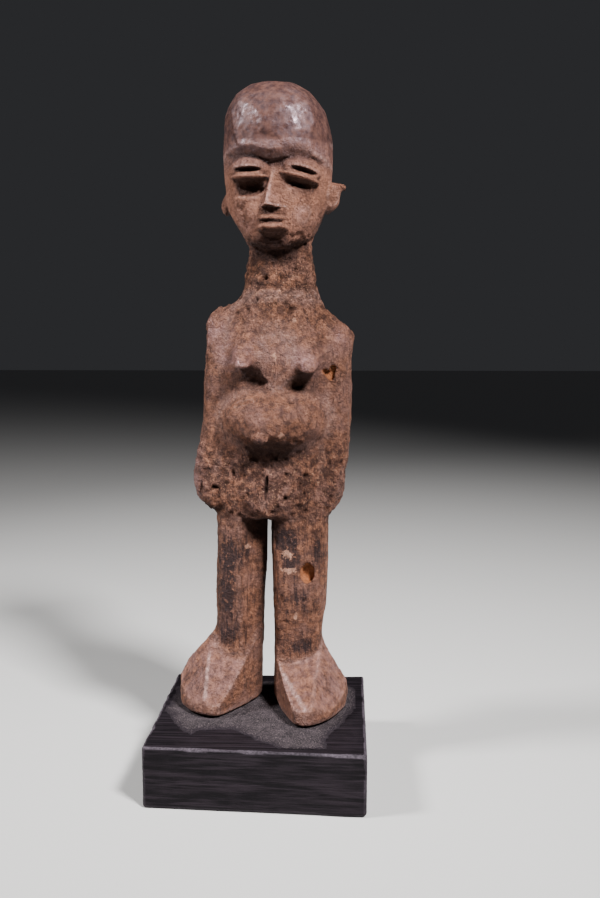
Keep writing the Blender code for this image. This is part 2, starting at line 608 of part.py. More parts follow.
def make_figure(parts, cutters, lift):
    form = bmesh.new()
    left_foot = (LEFT_FOOT_WIDTH, LEFT_FOOT_TOE, LEFT_FOOT_OUT)
    left_ankle = (LEFT_INSTEP_HEIGHT, LEFT_ANKLE_BACK, LEFT_HUMP_OUT, LEFT_HUMP_HEIGHT)
    add_leg_and_foot(form, -1, left_foot, left_ankle, 0)
    right_foot = (RIGHT_FOOT_WIDTH, RIGHT_FOOT_TOE, RIGHT_FOOT_OUT)
    right_ankle = (RIGHT_INSTEP_HEIGHT, RIGHT_ANKLE_BACK, RIGHT_HUMP_OUT, RIGHT_HUMP_HEIGHT)
    add_leg_and_foot(form, 1, right_foot, right_ankle, RIGHT_LEG_THICKER)
    add_trunk(form)
    add_arm(form, -1, LEFT_SHOULDER_REACH, LEFT_ELBOW_REACH, LEFT_FOREARM_REACH)
    add_arm(form, 1, RIGHT_SHOULDER_REACH, RIGHT_ELBOW_REACH, RIGHT_FOREARM_REACH)
    add_head(form)
    for vertex in form.verts:
        vertex.co.x += lean_at(vertex.co.z)
    wood = make_material("encrusted_wood", (0.19, 0.12, 0.085), 0.55)
    figure = make_object("carved_figure", form, parts, wood, lift)

    skin = figure.modifiers.new("run_forms_together", "REMESH")
    skin.mode = "VOXEL"
    skin.voxel_size = SKIN_CELL
    smooth = figure.modifiers.new("ease_meetings", "SMOOTH")
    smooth.factor = 0.5
    smooth.iterations = SKIN_SMOOTHING
    spare = figure.modifiers.new("drop_spare_faces", "DECIMATE")
    spare.ratio = SKIN_SHARE_KEPT

    for cutter in hollows(cutters, lift) + [leg_flat(cutters, lift)]:
        cut(figure, cutter)
    half_leg = KNEE_DEPTH / 2
    leg_place = (LEG_SPACING / 2 + LEG_HOLE_OUT + lean_at(KNEE_HEIGHT), -half_leg, KNEE_HEIGHT)
    arm_level = SHOULDER_LEVEL - ARM_HOLE_BELOW_SHOULDER
    arm_x = RIGHT_SHOULDER_REACH - ARM_THICKNESS / 2 - ARM_HOLE_IN + lean_at(arm_level)
    arm_place = (arm_x, -ARM_DEPTH / 2, arm_level)
    cut(figure, front_hole("leg_beetle_hole", leg_place, LEG_HOLE_WIDTH, LEG_HOLE_HEIGHT,
                           LEG_HOLE_DEPTH, cutters, lift))
    cut(figure, front_hole("arm_beetle_hole", arm_place, ARM_HOLE_WIDTH, ARM_HOLE_HEIGHT,
                           ARM_HOLE_DEPTH, cutters, lift))
    return figure


# The mount


def make_plinth(parts, base):
    form = bmesh.new()
    block = Matrix.Diagonal((PLINTH_WIDTH, PLINTH_DEPTH, PLINTH_THICKNESS, 1))
    raised = Matrix.Translation((0, 0, PLINTH_THICKNESS / 2))
    bmesh.ops.create_cube(form, size=1.0, matrix=raised @ block)
    for vertex in form.verts:
        if vertex.co.x < 0 and vertex.co.y < 0:
            vertex.co.y += PLINTH_FRONT_SKEW
    paint = make_material("black_paint", (0.012, 0.012, 0.013), 0.5)
    plinth = make_object("plinth", form, parts, paint, base)
    edge = plinth.modifiers.new("worn_edges", "BEVEL")
    edge.width = PLINTH_EDGE
    edge.segments = 2
    return plinth


def bedding_outline():
    """The lobed edge of the smear: places across and along the plinth's top, from -1 to 1."""
    reach_x = PLINTH_WIDTH / 2 - BEDDING_MARGIN
    reach_y = (PLINTH_DEPTH - PLINTH_FRONT_SKEW) / 2 - BEDDING_MARGIN
    places = [
        (-0.98, 0.05), (-0.82, -0.50), (-0.66, -0.74), (-0.46, -0.60), (-0.24, -0.58), (-0.04, -0.76),
        (0.26, -0.95), (0.62, -0.97), (0.74, -0.66), (0.90, -0.20), (0.98, 0.30), (0.92, 0.80),
        (0.30, 0.90), (-0.40, 0.88), (-0.95, 0.72),
    ]
    return [Vector((across * reach_x, along * reach_y, 0)) for across, along in places]


def make_bedding(parts, base):
    curve = bpy.data.curves.new("bedding_outline", "CURVE")
    curve.dimensions = "2D"
    curve.fill_mode = "BOTH"
    curve.extrude = BEDDING_THICKNESS / 2
    curve.resolution_u = 3
    outline = bedding_outline()
    spline = curve.splines.new("BEZIER")
    spline.bezier_points.add(len(outline) - 1)
    for knot, place in zip(spline.bezier_points, outline):
        knot.co = place
        knot.handle_left_type = "AUTO"
        knot.handle_right_type = "AUTO"
    spline.use_cyclic_u = True
    drawn = bpy.data.objects.new("bedding_outline", curve)
    parts.objects.link(drawn)
    bpy.context.view_layer.update()
    graph = bpy.context.evaluated_depsgraph_get()
    mesh = bpy.data.meshes.new_from_object(drawn.evaluated_get(graph))
    bpy.data.objects.remove(drawn)
    form = bmesh.new()
    form.from_mesh(mesh)
    bpy.data.meshes.remove(mesh)
    bmesh.ops.remove_doubles(form, verts=form.verts, dist=0.00001)
    grit = make_material("gritty_filler", (0.16, 0.15, 0.14), 0.85)
    middle = BEDDING_BOTTOM + BEDDING_THICKNESS / 2
    return make_object("bedding_filler", form, parts, grit, base, (0, 0, middle))


def make_pins(parts, cutters, base, holed):
    """A steel pin in each foot, and its hole through everything that it enters."""
    steel = make_material("pin_steel", (0.55, 0.55, 0.56), 0.35, 1.0)
    pin_bottom = PLINTH_THICKNESS - PIN_IN_PLINTH
    pin_length = PIN_IN_PLINTH + PIN_IN_FIGURE
    hole_diameter = PIN_DIAMETER + 2 * PIN_CLEARANCE
    for side, name in ((-1, "left_foot_pin"), (1, "right_foot_pin")):
        x = FIGURE_X + side * LEG_SPACING / 2
        pin_place = (x, FIGURE_Y, pin_bottom)
        pin = make_object(name, rod_form(PIN_DIAMETER, pin_length), parts, steel, base, pin_place)
        chamfer = pin.modifiers.new("eased_ends", "BEVEL")
        chamfer.width = PIN_CHAMFER
        chamfer.segments = 1
        chamfer.limit_method = "ANGLE"
        chamfer.angle_limit = math.radians(60)
        shade_smooth(pin)
        hole_form = rod_form(hole_diameter, pin_length + 2 * SEAT_GAP)
        hole_place = (x, FIGURE_Y, pin_bottom - SEAT_GAP)
        hole = make_object(name + "_hole", hole_form, cutters, location=hole_place)
        for thing in holed:
            cut(thing, hole)


def main():
    clear_scene()
    parts = make_collection("fertility_figure")
    cutters = make_collection("cutters")
    base = make_empty("plinth_seat", parts, (0, 0, 0))
    lift = make_empty("figure_lift", parts, FIGURE_SEAT)
    figure = make_figure(parts, cutters, lift)
    plinth = make_plinth(parts, base)
    bedding = make_bedding(parts, base)
    make_pins(parts, cutters, base, (plinth, bedding, figure))
    for thing in (figure, plinth, bedding):
        shade_smooth(thing)


main()
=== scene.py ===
"""Looks of a carved wooden standing figure on a black painted plinth.

The carving is drawn as a distance field, in millimetres above its soles, and skinned into a mesh.
The figure faces -Y, and left and right are the viewer's.
"""

import math

import bmesh
import bpy
import numpy as np
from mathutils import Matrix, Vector, kdtree


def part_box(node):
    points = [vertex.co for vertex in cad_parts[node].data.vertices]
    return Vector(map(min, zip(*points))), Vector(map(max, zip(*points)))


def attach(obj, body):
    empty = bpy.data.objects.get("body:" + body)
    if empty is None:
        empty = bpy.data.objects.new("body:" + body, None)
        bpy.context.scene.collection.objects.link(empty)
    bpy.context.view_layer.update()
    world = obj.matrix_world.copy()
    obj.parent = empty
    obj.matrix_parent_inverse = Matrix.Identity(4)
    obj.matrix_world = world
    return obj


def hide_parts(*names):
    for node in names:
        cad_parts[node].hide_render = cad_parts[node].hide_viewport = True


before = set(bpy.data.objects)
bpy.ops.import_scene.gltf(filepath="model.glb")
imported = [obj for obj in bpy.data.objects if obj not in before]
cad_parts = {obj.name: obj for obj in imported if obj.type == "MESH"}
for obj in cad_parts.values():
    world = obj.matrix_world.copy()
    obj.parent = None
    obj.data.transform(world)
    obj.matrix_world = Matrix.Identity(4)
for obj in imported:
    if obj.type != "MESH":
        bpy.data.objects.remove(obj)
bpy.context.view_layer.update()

MM = 0.001

# Where the frame puts the figure
FIGURE_LOW, FIGURE_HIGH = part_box("carved_figure")
PLINTH_LOW, PLINTH_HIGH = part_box("plinth")
BEDDING_LOW, BEDDING_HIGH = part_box("bedding_filler")
PIN_BOXES = [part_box("left_foot_pin"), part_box("right_foot_pin")]
PIN_MIDDLES = [(low + high) / 2 for low, high in PIN_BOXES]
PIN_RADIUS = (PIN_BOXES[0][1].x - PIN_BOXES[0][0].x) / 2
PIN_TOP = PIN_BOXES[0][1].z
PIN_SLACK = 0.3 * MM  # clearance round a pin
SEAT = (PIN_MIDDLES[0] + PIN_MIDDLES[1]) / 2
SEAT.z = FIGURE_LOW.z
FIGURE_TALL = (FIGURE_HIGH.z - FIGURE_LOW.z) / MM

# Camera of the photograph
CAMERA_PLACE = (0.0279, -0.3274, 0.1463)
CAMERA_PITCH = math.radians(6.42)  # down
CAMERA_TURN = math.radians(2.64)  # to the left
CAMERA_LENS = 40.1

# Stage and lights
FLOOR_SIZE = 8
FLOOR_COLOUR = (0.5, 0.49, 0.48, 1)
FLOOR_ROUGHNESS = 0.8
WORLD_COLOUR = (0.9, 0.92, 1, 1)
WORLD_STRENGTH = 0.03
SOFTBOX_SPREAD = math.radians(70)
SOFTBOX_SIZE = 0.16
RIGHT_SOFTBOX = dict(place=(0.42, -0.5, 0.78), aim=(0, 0, 0.12), watts=4.5)
LEFT_SOFTBOX = dict(place=(-0.62, -0.2, 0.7), aim=(0, 0, 0.13), watts=2)

# The skin of the carving
SKIN_STEP = 0.64
SKIN_MARGIN = 2.0
SLAB_LAYERS = 16
SLABS = 12
SETTLE_ROUNDS = 3
SLOPE_PROBE = 0.05
SLOPE_LEAST = 0.05
FAR = 1000.0
TINY = 1e-6
OVAL_CORE = 0.05  # share of an oval inside which its distance stays the same
LEGS_END = 80  # heights above the soles past which a form is left out
TRUNK_START = 55
HEAD_START = 145
SOCKETS_END = 25

# Flats left by the adze, in millimetres
FACET_SPACING = 5.2
FACET_SQUASH = 0.6  # flats are longer up and down than across
FACET_TRIES = 20000
FACET_SEED = 5
FACET_NEIGHBOURS = 5
FACET_ALIKE = 0.55  # least cosine between the normals of a point and of its flat
FACET_LOWEST = -0.1
FACET_HIGHEST = 0.55
FACET_DROP = 0.15  # sets the flats back to about the height of the smooth form
CROWN_CALM = 0.3  # how much weaker the flats are on the crown

# Lumps and pits of the crust
NOISE_CELLS = 32
NOISE_START = 500.0  # keeps every place in the noise above nought
LUMPS = [(3.6, 11, 0.2), (1.5, 12, 0.26)]  # size, seed, height
PITS = (1.6, 13, 0.45, -1.2)  # size, seed, noise where a pit starts, height
CRUST_LEAST = 0.12  # strength of the relief without crust
CRUST_MORE = 1.3  # and what full crust adds
CAKED_MORE = 1.1  # and what the thickest crust adds to that
CAKED_FROM = 0.6
SHADE_CALM = 0.7  # how much weaker all relief is in hollows
SOCKET_CALM = 0.6  # relief fades out this close to a socket
SOLE_CALM = 1.2  # and this close to the soles

# Shares of crust and polish: height above the soles, share
CRUST_BY_HEIGHT = [(0, 0.2), (30, 0.25), (58, 0.4), (68, 1), (86, 1), (92, 0.5), (112, 0.55), (124, 0.5),
                   (136, 0.9), (152, 0.9), (158, 0.65), (176, 0.45), (186, 0.1), (210, 0.06)]
POLISH_BY_HEIGHT = [(0, 0.1), (60, 0.05), (125, 0.1), (150, 0), (160, 0.3), (178, 0.35), (186, 0.75),
                    (208, 0.85)]
# Soft spots on the front: x, height above the soles, half width, half height, strength
POLISH_SPOTS = [(-10, 117, 5, 4, 0.9), (13, 116, 5, 4, 0.8), (2, 101, 10, 4, 0.3), (-26, 80, 4, 10, 0.9),
                (-19, 128, 7, 6, 0.7), (2, 169, 5, 7, 0.6), (24, 125, 4, 5, 0.5), (0, 122, 18, 6, 0.35),
                (12, 164, 3, 3, 0.7), (-6.5, 161, 4, 4, 0.6)]
SOOT_SPOTS = [(-11.5, 53, 6, 6, 1), (-13.5, 38, 5, 11, 1), (-13, 24, 5, 5, 0.7), (6, 58, 6, 5, 1),
              (8, 49, 4, 6, 0.9), (17, 53, 3, 7, 0.9), (10, 37, 7, 6, 0.75), (11, 21, 7, 4, 0.9),
              (-25, 11, 6, 6, 0.55), (-14, 12, 4, 4, 0.45), (20, 10, 5, 4, 0.35), (-1.7, 91, 2.5, 2, 0.5)]
# Spots whose edges are not painted pale
UNWORN_SPOTS = [(0, 76, 6, 8, 1), (20, 113, 5, 5, 1), (-1.7, 92, 4, 4, 0.8)]
# Small places where the crust has chipped off
CHIP_SPOTS = [(6.4, 52.6, 1.7, 1.7, 1), (7, 47.2, 3, 1, 0.95), (9.3, 31.4, 0.9, 1.4, 0.9),
              (-6.8, 54.9, 1.3, 1.2, 0.9), (5.4, 93.4, 1.3, 1.3, 1), (9.1, 130.5, 0.9, 1.1, 0.9),
              (3, 118.7, 0.8, 1.4, 0.9)]
# Heights over which a look fades in
FOOT_TOP_FADE = (24, 21)
FACE_FADE = (155, 158)
BROW_FADE = (181, 178)
CROWN_FADE = (176, 188)
# Ridges on the tops of the feet, from end to end, painted pale as rubbed wood and as painted highlight lines
FOOT_RIDGES = [((-20.5, -9, 17.8), (-20.6, -18.6, 6.4)), ((3, -7.8, 13.9), (13.5, -27.4, 5.6))]
# Spots without flats
SMOOTH_SPOTS = [(-10, 117, 6, 5, 0.9), (13, 116, 6, 5, 0.9), (3, 182, 5, 5, 0.9)]

# How hollows, edges and places under ledges are found, in millimetres; hollows and places under ledges are
# painted darker, a painted shade
SHADE_REACHES = (1.2, 2.6, 5)
EDGE_PROBE = 0.75  # how far in an edge is looked for
EDGE_FULL = 0.4  # share of that depth lost where wear is full
RIDGE_RADIUS = 0.2
FOOT_POLISH = 0.48
POLISH_CLEANS = 0.8  # share of the crust that full polish takes away
SHELTER_TURNS = [math.radians(angle) for angle in (0, 55, 125, 180, 235, 305)]
SHELTER_RISE = math.radians(50)
SHELTER_REACHES = (1.5, 3, 5.5, 9)
SHELTER_START = 0.5
SHELTER_SHARPNESS = 4
SHELTER_FROM = 0.6
SHELTER_FULL = 0.95

# Plinth and filler, in millimetres
GRAIN_CELLS = 40
GRAIN_FINE = 0.3
GRAIN_DEPTH = 0.07
GRAIN_SET_BACK = 1.35  # keeps the grain inside the block
GRAIN = [((30, 0.75, 0.75), 22, 0.6), ((60, 1.9, 1.9), 23, 0.7)]  # size, seed, height
EDGE_ROUND = 1.2
EDGE_NOISE = ((9, 4, 4), 21)
EDGE_UNEVEN = 0.45
EDGE_BAND = 3.0  # finer cells lie this close to each edge
EDGE_CELL = 0.25
EDGE_CELLS = 9
FLAT_COSINE = 0.98  # a normal with no part above this lies on a rounded edge
# Edges of the block are painted pale as wear and as painted highlight, the top's most
LOWER_WEAR_AND_HIGHLIGHT = 0.35  # wear of edges other than the top's
WELD = 0.001
FRONT_SKEW = 3.5  # the left front corner stands this far behind the right one
FILLER_STEP = 0.4
FILLER_FEATHER = 3.6
FILLER_SUNK = 0.2  # how far its underside lies in the plinth's grain
FILLER_START = 0.05  # how far below the plinth's top its upper side starts
FILLER_THICK = 0.55
FILLER_WOBBLE = [(5, 31, 0.8), (1.6, 32, 0.35)]
FILLER_GRAINS = (0.9, 33, 0.25, 0.16)
FILLER_SWELL = [(7, 34, 0.08)]
RIM_ANGLE = math.radians(60)  # sharper edges aren't shaded smooth
FILLER_OUTLINE = [(-32.4, 21), (-32.4, -1.6), (-26, -15.3), (-21, -22.5), (-18.7, -18.3), (-8.9, -16.2),
                  (-2.5, -21.7), (4.1, -28.5), (8.4, -32.1), (14.3, -33.3), (22, -32.2), (22.7, -20.5),
                  (28.1, -6.8), (32, 5.2), (32, 21), (26, 30), (-26, 29)]

# Materials; the heights of bumps are in metres
WOOD_RELIEF = 0.0022
PAINT_RELIEF = 0.0005
FILLER_RELIEF = 0.0006
STEEL_RELIEF = 0.00005
IN_MM = (1000, 1000, 1000)  # scale that turns metres into millimetres
SHADER_INPUTS = dict(colour="Base Color", rough="Roughness", normal="Normal", gloss="Specular IOR Level")

# Colours
UMBER = (0.086, 0.038, 0.023, 1)
EARTH = (0.31, 0.13, 0.072, 1)
# Painted light on the face's front
TAWNY_FACE_LIGHT = (0.37, 0.155, 0.086, 1)
ASHEN = (0.21, 0.105, 0.082, 1)
SOIL = (0.036, 0.016, 0.01, 1)
DUST = (0.46, 0.25, 0.15, 1)
ROSE_GREY = (0.18, 0.09, 0.082, 1)
CROWN_BROWN = (0.025, 0.0125, 0.012, 1)
CROWN_TAN = (0.068, 0.032, 0.025, 1)
# Pale of rubbed edges, also a painted highlight
RUBBED_AND_HIGHLIGHT = (0.44, 0.28, 0.25, 1)
CHIPPED = (0.42, 0.22, 0.15, 1)
SOOT = (0.016, 0.011, 0.011, 1)
# Dark of cracks, and of the painted shade in hollows and under ledges
CRACK_AND_SHADE_DARK = (0.022, 0.01, 0.006, 1)
SHEEN = (1, 0.75, 0.85, 1)
FRESH = (0.3, 0.105, 0.042, 1)
FRESH_PALE = (0.42, 0.155, 0.065, 1)
PAINT = (0.003, 0.002, 0.003, 1)
PAINT_GREY = (0.0145, 0.0102, 0.0136, 1)
PAINT_WORN_AND_HIGHLIGHT = (0.072, 0.058, 0.071, 1)
FILLER_DARK = (0.014, 0.011, 0.013, 1)
FILLER_GREY = (0.038, 0.029, 0.033, 1)
FILLER_GRIT = (0.13, 0.101, 0.105, 1)
STEEL_DARK = (0.36, 0.36, 0.37, 1)
STEEL = (0.62, 0.62, 0.63, 1)

LEAN = 3.8  # how far the crown stands to the right of the feet

# Upright forms, one station a line: height, middle across, half width, reach to the front, to the back
LEG_SQUARENESS = 2.7
LEFT_LEG = [
    (2, -10.9, 7.9, 8.2, 9.4),
    (14, -11, 8, 8, 9),
    (25, -10.8, 8.1, 8.6, 8.6),
    (36, -10.7, 8.2, 9.4, 8.8),
    (47, -10.4, 8.5, 9.8, 9.4),
    (57, -10.4, 8.5, 9.4, 10.4),
    (72, -10.4, 8.6, 9.6, 11),
]
RIGHT_LEG = [
    (2, 9.7, 8.2, 8.2, 9.4),
    (14, 9.7, 8.2, 8, 9),
    (25, 9.6, 8.4, 8.6, 8.6),
    (36, 9.9, 9.2, 9.4, 8.8),
    (47, 9.8, 9.6, 9.8, 9.4),
    (57, 9.6, 9.8, 9.4, 10.4),
    (72, 9.6, 9.7, 9.6, 11),
]
TRUNK = [
    (64, -0.8, 17, 10.4, 11.5),
    (70, -1, 20.5, 12, 14),
    (78, -1, 21, 12.4, 15.6),
    (88, -0.5, 20, 12.4, 14.2),
    (98, 0.2, 19.4, 12.2, 12.2),
    (108, 0.8, 20, 12.2, 11.6),
    (118, 1.2, 20.8, 12.2, 11.8),
    (126, 1.3, 20, 11.4, 11.6),
    (132, 1.3, 16, 10.6, 11),
    (138, 1.4, 12.6, 10.2, 10.4),
]
NECK = [
    (128, 1.3, 14.2, 10.4, 10.8),
    (138, 1.4, 12.9, 9.8, 10.6),
    (143, 1.5, 12.1, 9.2, 10.4),
    (149, 1.4, 11.3, 8.6, 10.4),
    (154, 1.2, 10.6, 8, 10.6),
    (166, 0.6, 10.6, 8, 11),
]
LEFT_ARM = [
    (67.2, -17.6, 4.2, 5.5, 5.5),
    (69.6, -18.3, 6.2, 7.8, 7.5),
    (74, -19.2, 6.9, 9, 8.4),
    (79, -19.9, 7, 9.2, 8.6),
    (87, -19.2, 6.7, 8.8, 8.6),
    (96, -18, 6.4, 8.4, 8.6),
    (108, -17.6, 6.4, 8.2, 8.6),
    (120, -17, 6.3, 8.2, 8.6),
    (127, -16.6, 6.5, 8, 8.4),
    (131.5, -15.6, 6.6, 7.2, 7.6),
    (136, -12.2, 5.2, 5.8, 6.2),
]
RIGHT_ARM = [
    (65.4, 16, 4.4, 5.5, 5.5),
    (68, 16, 5.8, 7.8, 7.5),
    (73, 17, 6.6, 9, 8.4),
    (79, 17.6, 6.9, 9.2, 8.6),
    (87, 18.8, 6.8, 8.8, 8.6),
    (96, 19.3, 6.5, 8.4, 8.6),
    (108, 19.7, 6.4, 8.2, 8.6),
    (120, 19.4, 6.4, 8.2, 8.6),
    (126, 19.4, 6.4, 8, 8.4),
    (129.5, 16.8, 6, 7.4, 7.8),
    (135.5, 10.6, 4.8, 5.8, 6.2),
]

# Feet: corners of the sole's outline, and three points on each of the planes of the top
LEFT_SOLE = [(-15.8, -21), (-22, -19.6), (-28, -13.2), (-31.7, -3), (-30.5, 5), (-24, 11.5),
             (-8, 11.5), (-3.2, 6), (-3.4, -1), (-6.8, -8.6)]
LEFT_TOP = [
    [(-20.5, -9, 17.8), (-20.6, -18.6, 6.4), (-10.7, -11.6, 13)],
    [(-20.5, -9, 17.8), (-20.6, -18.6, 6.4), (-31.6, -6, 6.4)],
    [(-31.6, -2.5, 5.7), (-27.4, -2.5, 15.4), (-27, 8, 5.5)],
    [(-25.6, -2.5, 17.4), (-20.7, -2.5, 22.6), (-22.5, 10, 8)],
    [(-17, 8.2, 22), (-5, 8.2, 22), (-11, 11.8, 5)],
]
LEFT_LEG_FLAT = [(-9.9, -9.2), (-2, 0.6)]  # plan of the flat on the leg's inner front
RIGHT_SOLE = [(13, -28.4), (19.4, -24.8), (25, -15.4), (27.6, -3), (26.4, 5), (21, 11.5), (6, 11.5),
              (1.4, 6), (2.2, -6), (7.2, -22.4), (9.4, -27)]
RIGHT_TOP = [
    [(13.5, -27.4, 5.6), (3, -7.8, 13.9), (16.7, -7.8, 17.4)],
    [(16.9, -8.2, 17.6), (19.2, -22.8, 4.8), (27.2, -5.5, 7.2)],
    [(26.9, -2.5, 6.2), (20.6, -2.5, 18.2), (22.8, 8, 5.5)],
    [(4, 8.2, 22), (16, 8.2, 22), (10, 11.8, 5)],
]

# Round forms: centre, half sizes, blend, turns about X and Y
BELLY = ((0.8, -8.2, 98.4), (17.4, 11.6, 11.4), 3.6, -0.2)
UNDER_BELLY = ((-1.2, -18.8, 84.4), (14, 7.8, 5.2), 2.2)
NAVEL = ((-3.4, -18.2, 92.2), (2.3, 2.4, 1.9), 1.2)
BREAST_BONE = ((1.2, -8.6, 117), (7.5, 6.6, 11), 4)
UNDER_BREASTS = [((-8.2, -18.8, 111), (7.8, 8.2, 4), 1, 0, 0.12),
                 ((10.6, -18.8, 109.6), (7.8, 8.2, 4), 1, 0, -0.12)]
BUTTOCKS = [((-10.6, 7.5, 77), (10.5, 11.5, 14), 3), ((9, 7.5, 77), (10.5, 11.5, 14), 3)]
SLIT = ((-1.4, -12.8, 76), (0.35, 2.4, 4.4), 0.5, 0, 0.06)

# Long forms: start, end, radius at each, blend
BREASTS = [((-6.4, -2.6, 126.5), (-9.6, -16, 116.2), 10, 2.3, 3.4),
           ((8.8, -2.6, 125.1), (12, -16, 114.8), 10, 2.3, 3.4)]
ARM_GROOVES = [((-15, -13.9, 117), (-14.6, -14.2, 72), 2.6, 2.2, 2.6),
               ((16, -13.9, 117), (15.6, -14.2, 72), 2.6, 2.2, 2.6)]
BELLY_CRACK = ((-11.4, -15.4, 103.6), (-6.4, -17, 104.6), 0.9, 0.5, 0.5)
SPINE = ((-0.2, 15.6, 86), (1.2, 14, 128), 3, 2.4, 3)
FORKS = [((-0.84, -12.8, 69.5), (-4.2, -13.4, 79), 0.7, 1.6, 2),
         ((0.92, -12.8, 69.5), (4.6, -13.4, 79), 0.7, 1.6, 2)]
CLEFT = ((-0.8, 20.6, 66), (-0.8, 20.4, 80), 2.6, 1.2, 2)

# Head: heights above the chin, and x from the face's middle line
CHIN = 154.4
HEAD_MIDDLE = -0.1
HEAD_TURN = math.radians(-4)
HEAD_SQUARENESS = 2.25
FACE = [
    (-1, 0.9, 5.6, 11.8, 2),
    (1.4, 0.9, 10, 13.8, 6),
    (4.6, 0.7, 12.3, 14.8, 10),
    (7.2, 0.6, 13.8, 15.3, 12.5),
    (9.8, 0.5, 15, 15.5, 14.5),
    (12.4, 0.4, 16.2, 15.5, 16),
    (18, 0.3, 16.9, 15, 17.6),
    (24, 0.1, 17.4, 14.8, 18.4),
    (33, 0, 17.5, 14, 18.6),
]
UNDER_LIP = ((0.8, -18, 2.2), (5.6, 5, 2), 0.9)
LIPS = [
    ((0.3, -15, 8.1), (4.9, 3.2, 1.4), 0.35),
    ((0.5, -15, 6.8), (4.6, 1.9, 1.4), 0.35),
    ((0.6, -15, 5.3), (5.1, 3.8, 1.5), 0.35),
]
CHEEK = ((9.4, -11.9, 9.4), (2.4, 1.8, 1.8), 2.4)
LEFT_EAR = ((-16.4, 0.6, 14.8), (2.4, 3.8, 4.2), 0.9, 0, 0.3)
RIGHT_EAR = dict(centre=(17.2, 0.4, 15.6), radii=(3.6, 4, 4.6), turn_y=0.2)
RIGHT_EAR_TIP = ((17.4, 0.2, 18.4), (22, -0.8, 19.2), 2.8, 1, 1.6)
RIGHT_EAR_CUP = ((19.6, -4.4, 16.2), (1.9, 2.8, 3.6), 0.9, 0, 0.3)
EAR_BLEND = 0.9
NOSE_MIDDLE = 0.8
NOSE_LEFT = (-1, -4.7)  # place across at the top and at the base
NOSE_RIGHT = (0.9, 5.1)
NOSE_RIDGE = (-0.4, -2.2)
NOSE_REACH = (0.8, 5.8)  # how far the ridge stands out at the top and at the base
NOSE_BASE_SLOPE = 0.12
NOSE_SUNK = 4.0  # how far the wedge runs into the face
NOSE_OVER = 2.0  # how far it runs up under the brow
NOSE_TOP = 23.5
NOSE_BASE = 11.2
NOSE_ROOT = 14.6  # how far in front of the neck's axis its sides start
CAP_DOME_FROM = 33.0
CAP_TOP = 53.1
CAP_HALF_WIDTH = 17.6
CAP_FRONT = 18.4
CAP_BACK = 18.8
CAP_FULLNESS = 2.3
CAP_BLEND = 0.8  # at the front, where the brow overhangs
CAP_BLEND_BEHIND = 2.4  # and how much more at the back
CAP_BEHIND = 8  # depth over which the blend grows
CAP_LEAN_CURVE = 1.5
CAP_LAST = 0.9995  # share of the dome's height at which it stops narrowing
CAP_LEFT_LEAN = 1.9  # how far the crown's top stands to the left of the head's middle
# Lower edge of the brow, two arches that meet in a notch over the nose: x, height
BROW = [(-18, 25.4), (-13, 27), (-7, 27.7), (-2, 26.6), (0, 26.1), (3, 26.6), (7, 26.9), (12, 25.6),
        (15, 24.4), (18, 22.6)]
BROW_BEVEL = 2.3  # how far in its sloping underside runs
BROW_SLOPE = 1.25
LEFT_EYE = dict(place=(-6.8, -11.9, 24.1), tilt=0.02, wrap=-0.27,
                hollow=((0, -5.2, -6.3), (6.6, 6.4, 2.9), 0.8))
RIGHT_EYE = dict(place=(9.2, -11.1, 23.6), tilt=0.24, wrap=0.4,
                 hollow=((0, -5.2, -5.1), (6.6, 5, 1.7), 0.8))
UPPER_LID = ((0, 0, 0), (7, 4.7, 3.9), 0.5)  # lids and slit are placed from the eye's own middle
LOWER_LID = ((0, -0.1, -2.9), (7.1, 5, 1.6), 0.3)
EYE_SLIT = ((0.2, -5, -0.9), (7.2, 2.6, 0.68), 0.4)

# Beetle holes, which slant as they run in from the front and end at a given y
LEG_HOLE = dict(x=12.6, z=46.4, half_width=2.2, half_height=3.5, end=-6.6)
HOLE_MOUTH = -9.0  # y where the slant starts
HOLE_SLANT = (0.36, 0, 0.14)
# Lobes of the arm's hole: both ends, half width at each
ARM_HOLE_LOBES = [((16.9, 0, 113.8), (18.4, 0, 111.6), 0.8, 0.8),
                  ((19.3, 0, 114.8), (18.6, 0, 111.6), 0.95, 0.95)]
ARM_HOLE_END = -6.3


# Distance fields. Each takes points as an array of rows and gives millimetres, negative inside.


def held(values):
    """Values held between 0 and 1."""
    return np.clip(values, 0, 1)


def row(values):
    """Values as an array of single precision."""
    return np.array(values, np.float32)


def ramp(values, start, end):
    """0 at the start, 1 at the end, and held beyond both."""
    return held((values - start) / (end - start))


def smooth_union(first, second, blend):
    """Both forms, run together where they are closer than the blend."""
    share = held(0.5 + 0.5 * (second - first) / blend)
    return second + (first - second) * share - blend * share * (1 - share)


def smooth_cut(body, cutter, blend):
    return -smooth_union(-body, cutter, blend)


def smooth_common(first, second, blend):
    return -smooth_union(-first, -second, blend)


def through_stations(height, heights, values):
    """A smooth curve through values at given heights, flat beyond both ends."""
    heights = row(heights)
    values = row(values)
    slopes = np.gradient(values, heights)
    place = np.clip(np.searchsorted(heights, height) - 1, 0, len(heights) - 2)
    span = heights[place + 1] - heights[place]
    part = held((height - heights[place]) / span)
    rise = values[place + 1] - values[place]
    start = slopes[place] * span - rise
    end = rise - slopes[place + 1] * span
    return values[place] + part * rise + part * (1 - part) * ((1 - part) * start + part * end)


def oval(points, middle, half_width, front, back, power):
    """Distance to an upright oval wall whose sizes may differ from point to point."""
    x = points[:, 0] - middle
    y = points[:, 1]
    reach = np.where(y > 0, back, front)
    ratio = (np.abs(x / half_width) ** power + np.abs(y / reach) ** power) ** (1 / power)
    radius = np.hypot(x, y)
    wall = radius - radius / np.maximum(ratio, OVAL_CORE)
    return np.where(ratio > OVAL_CORE, wall, -np.minimum(half_width, reach))


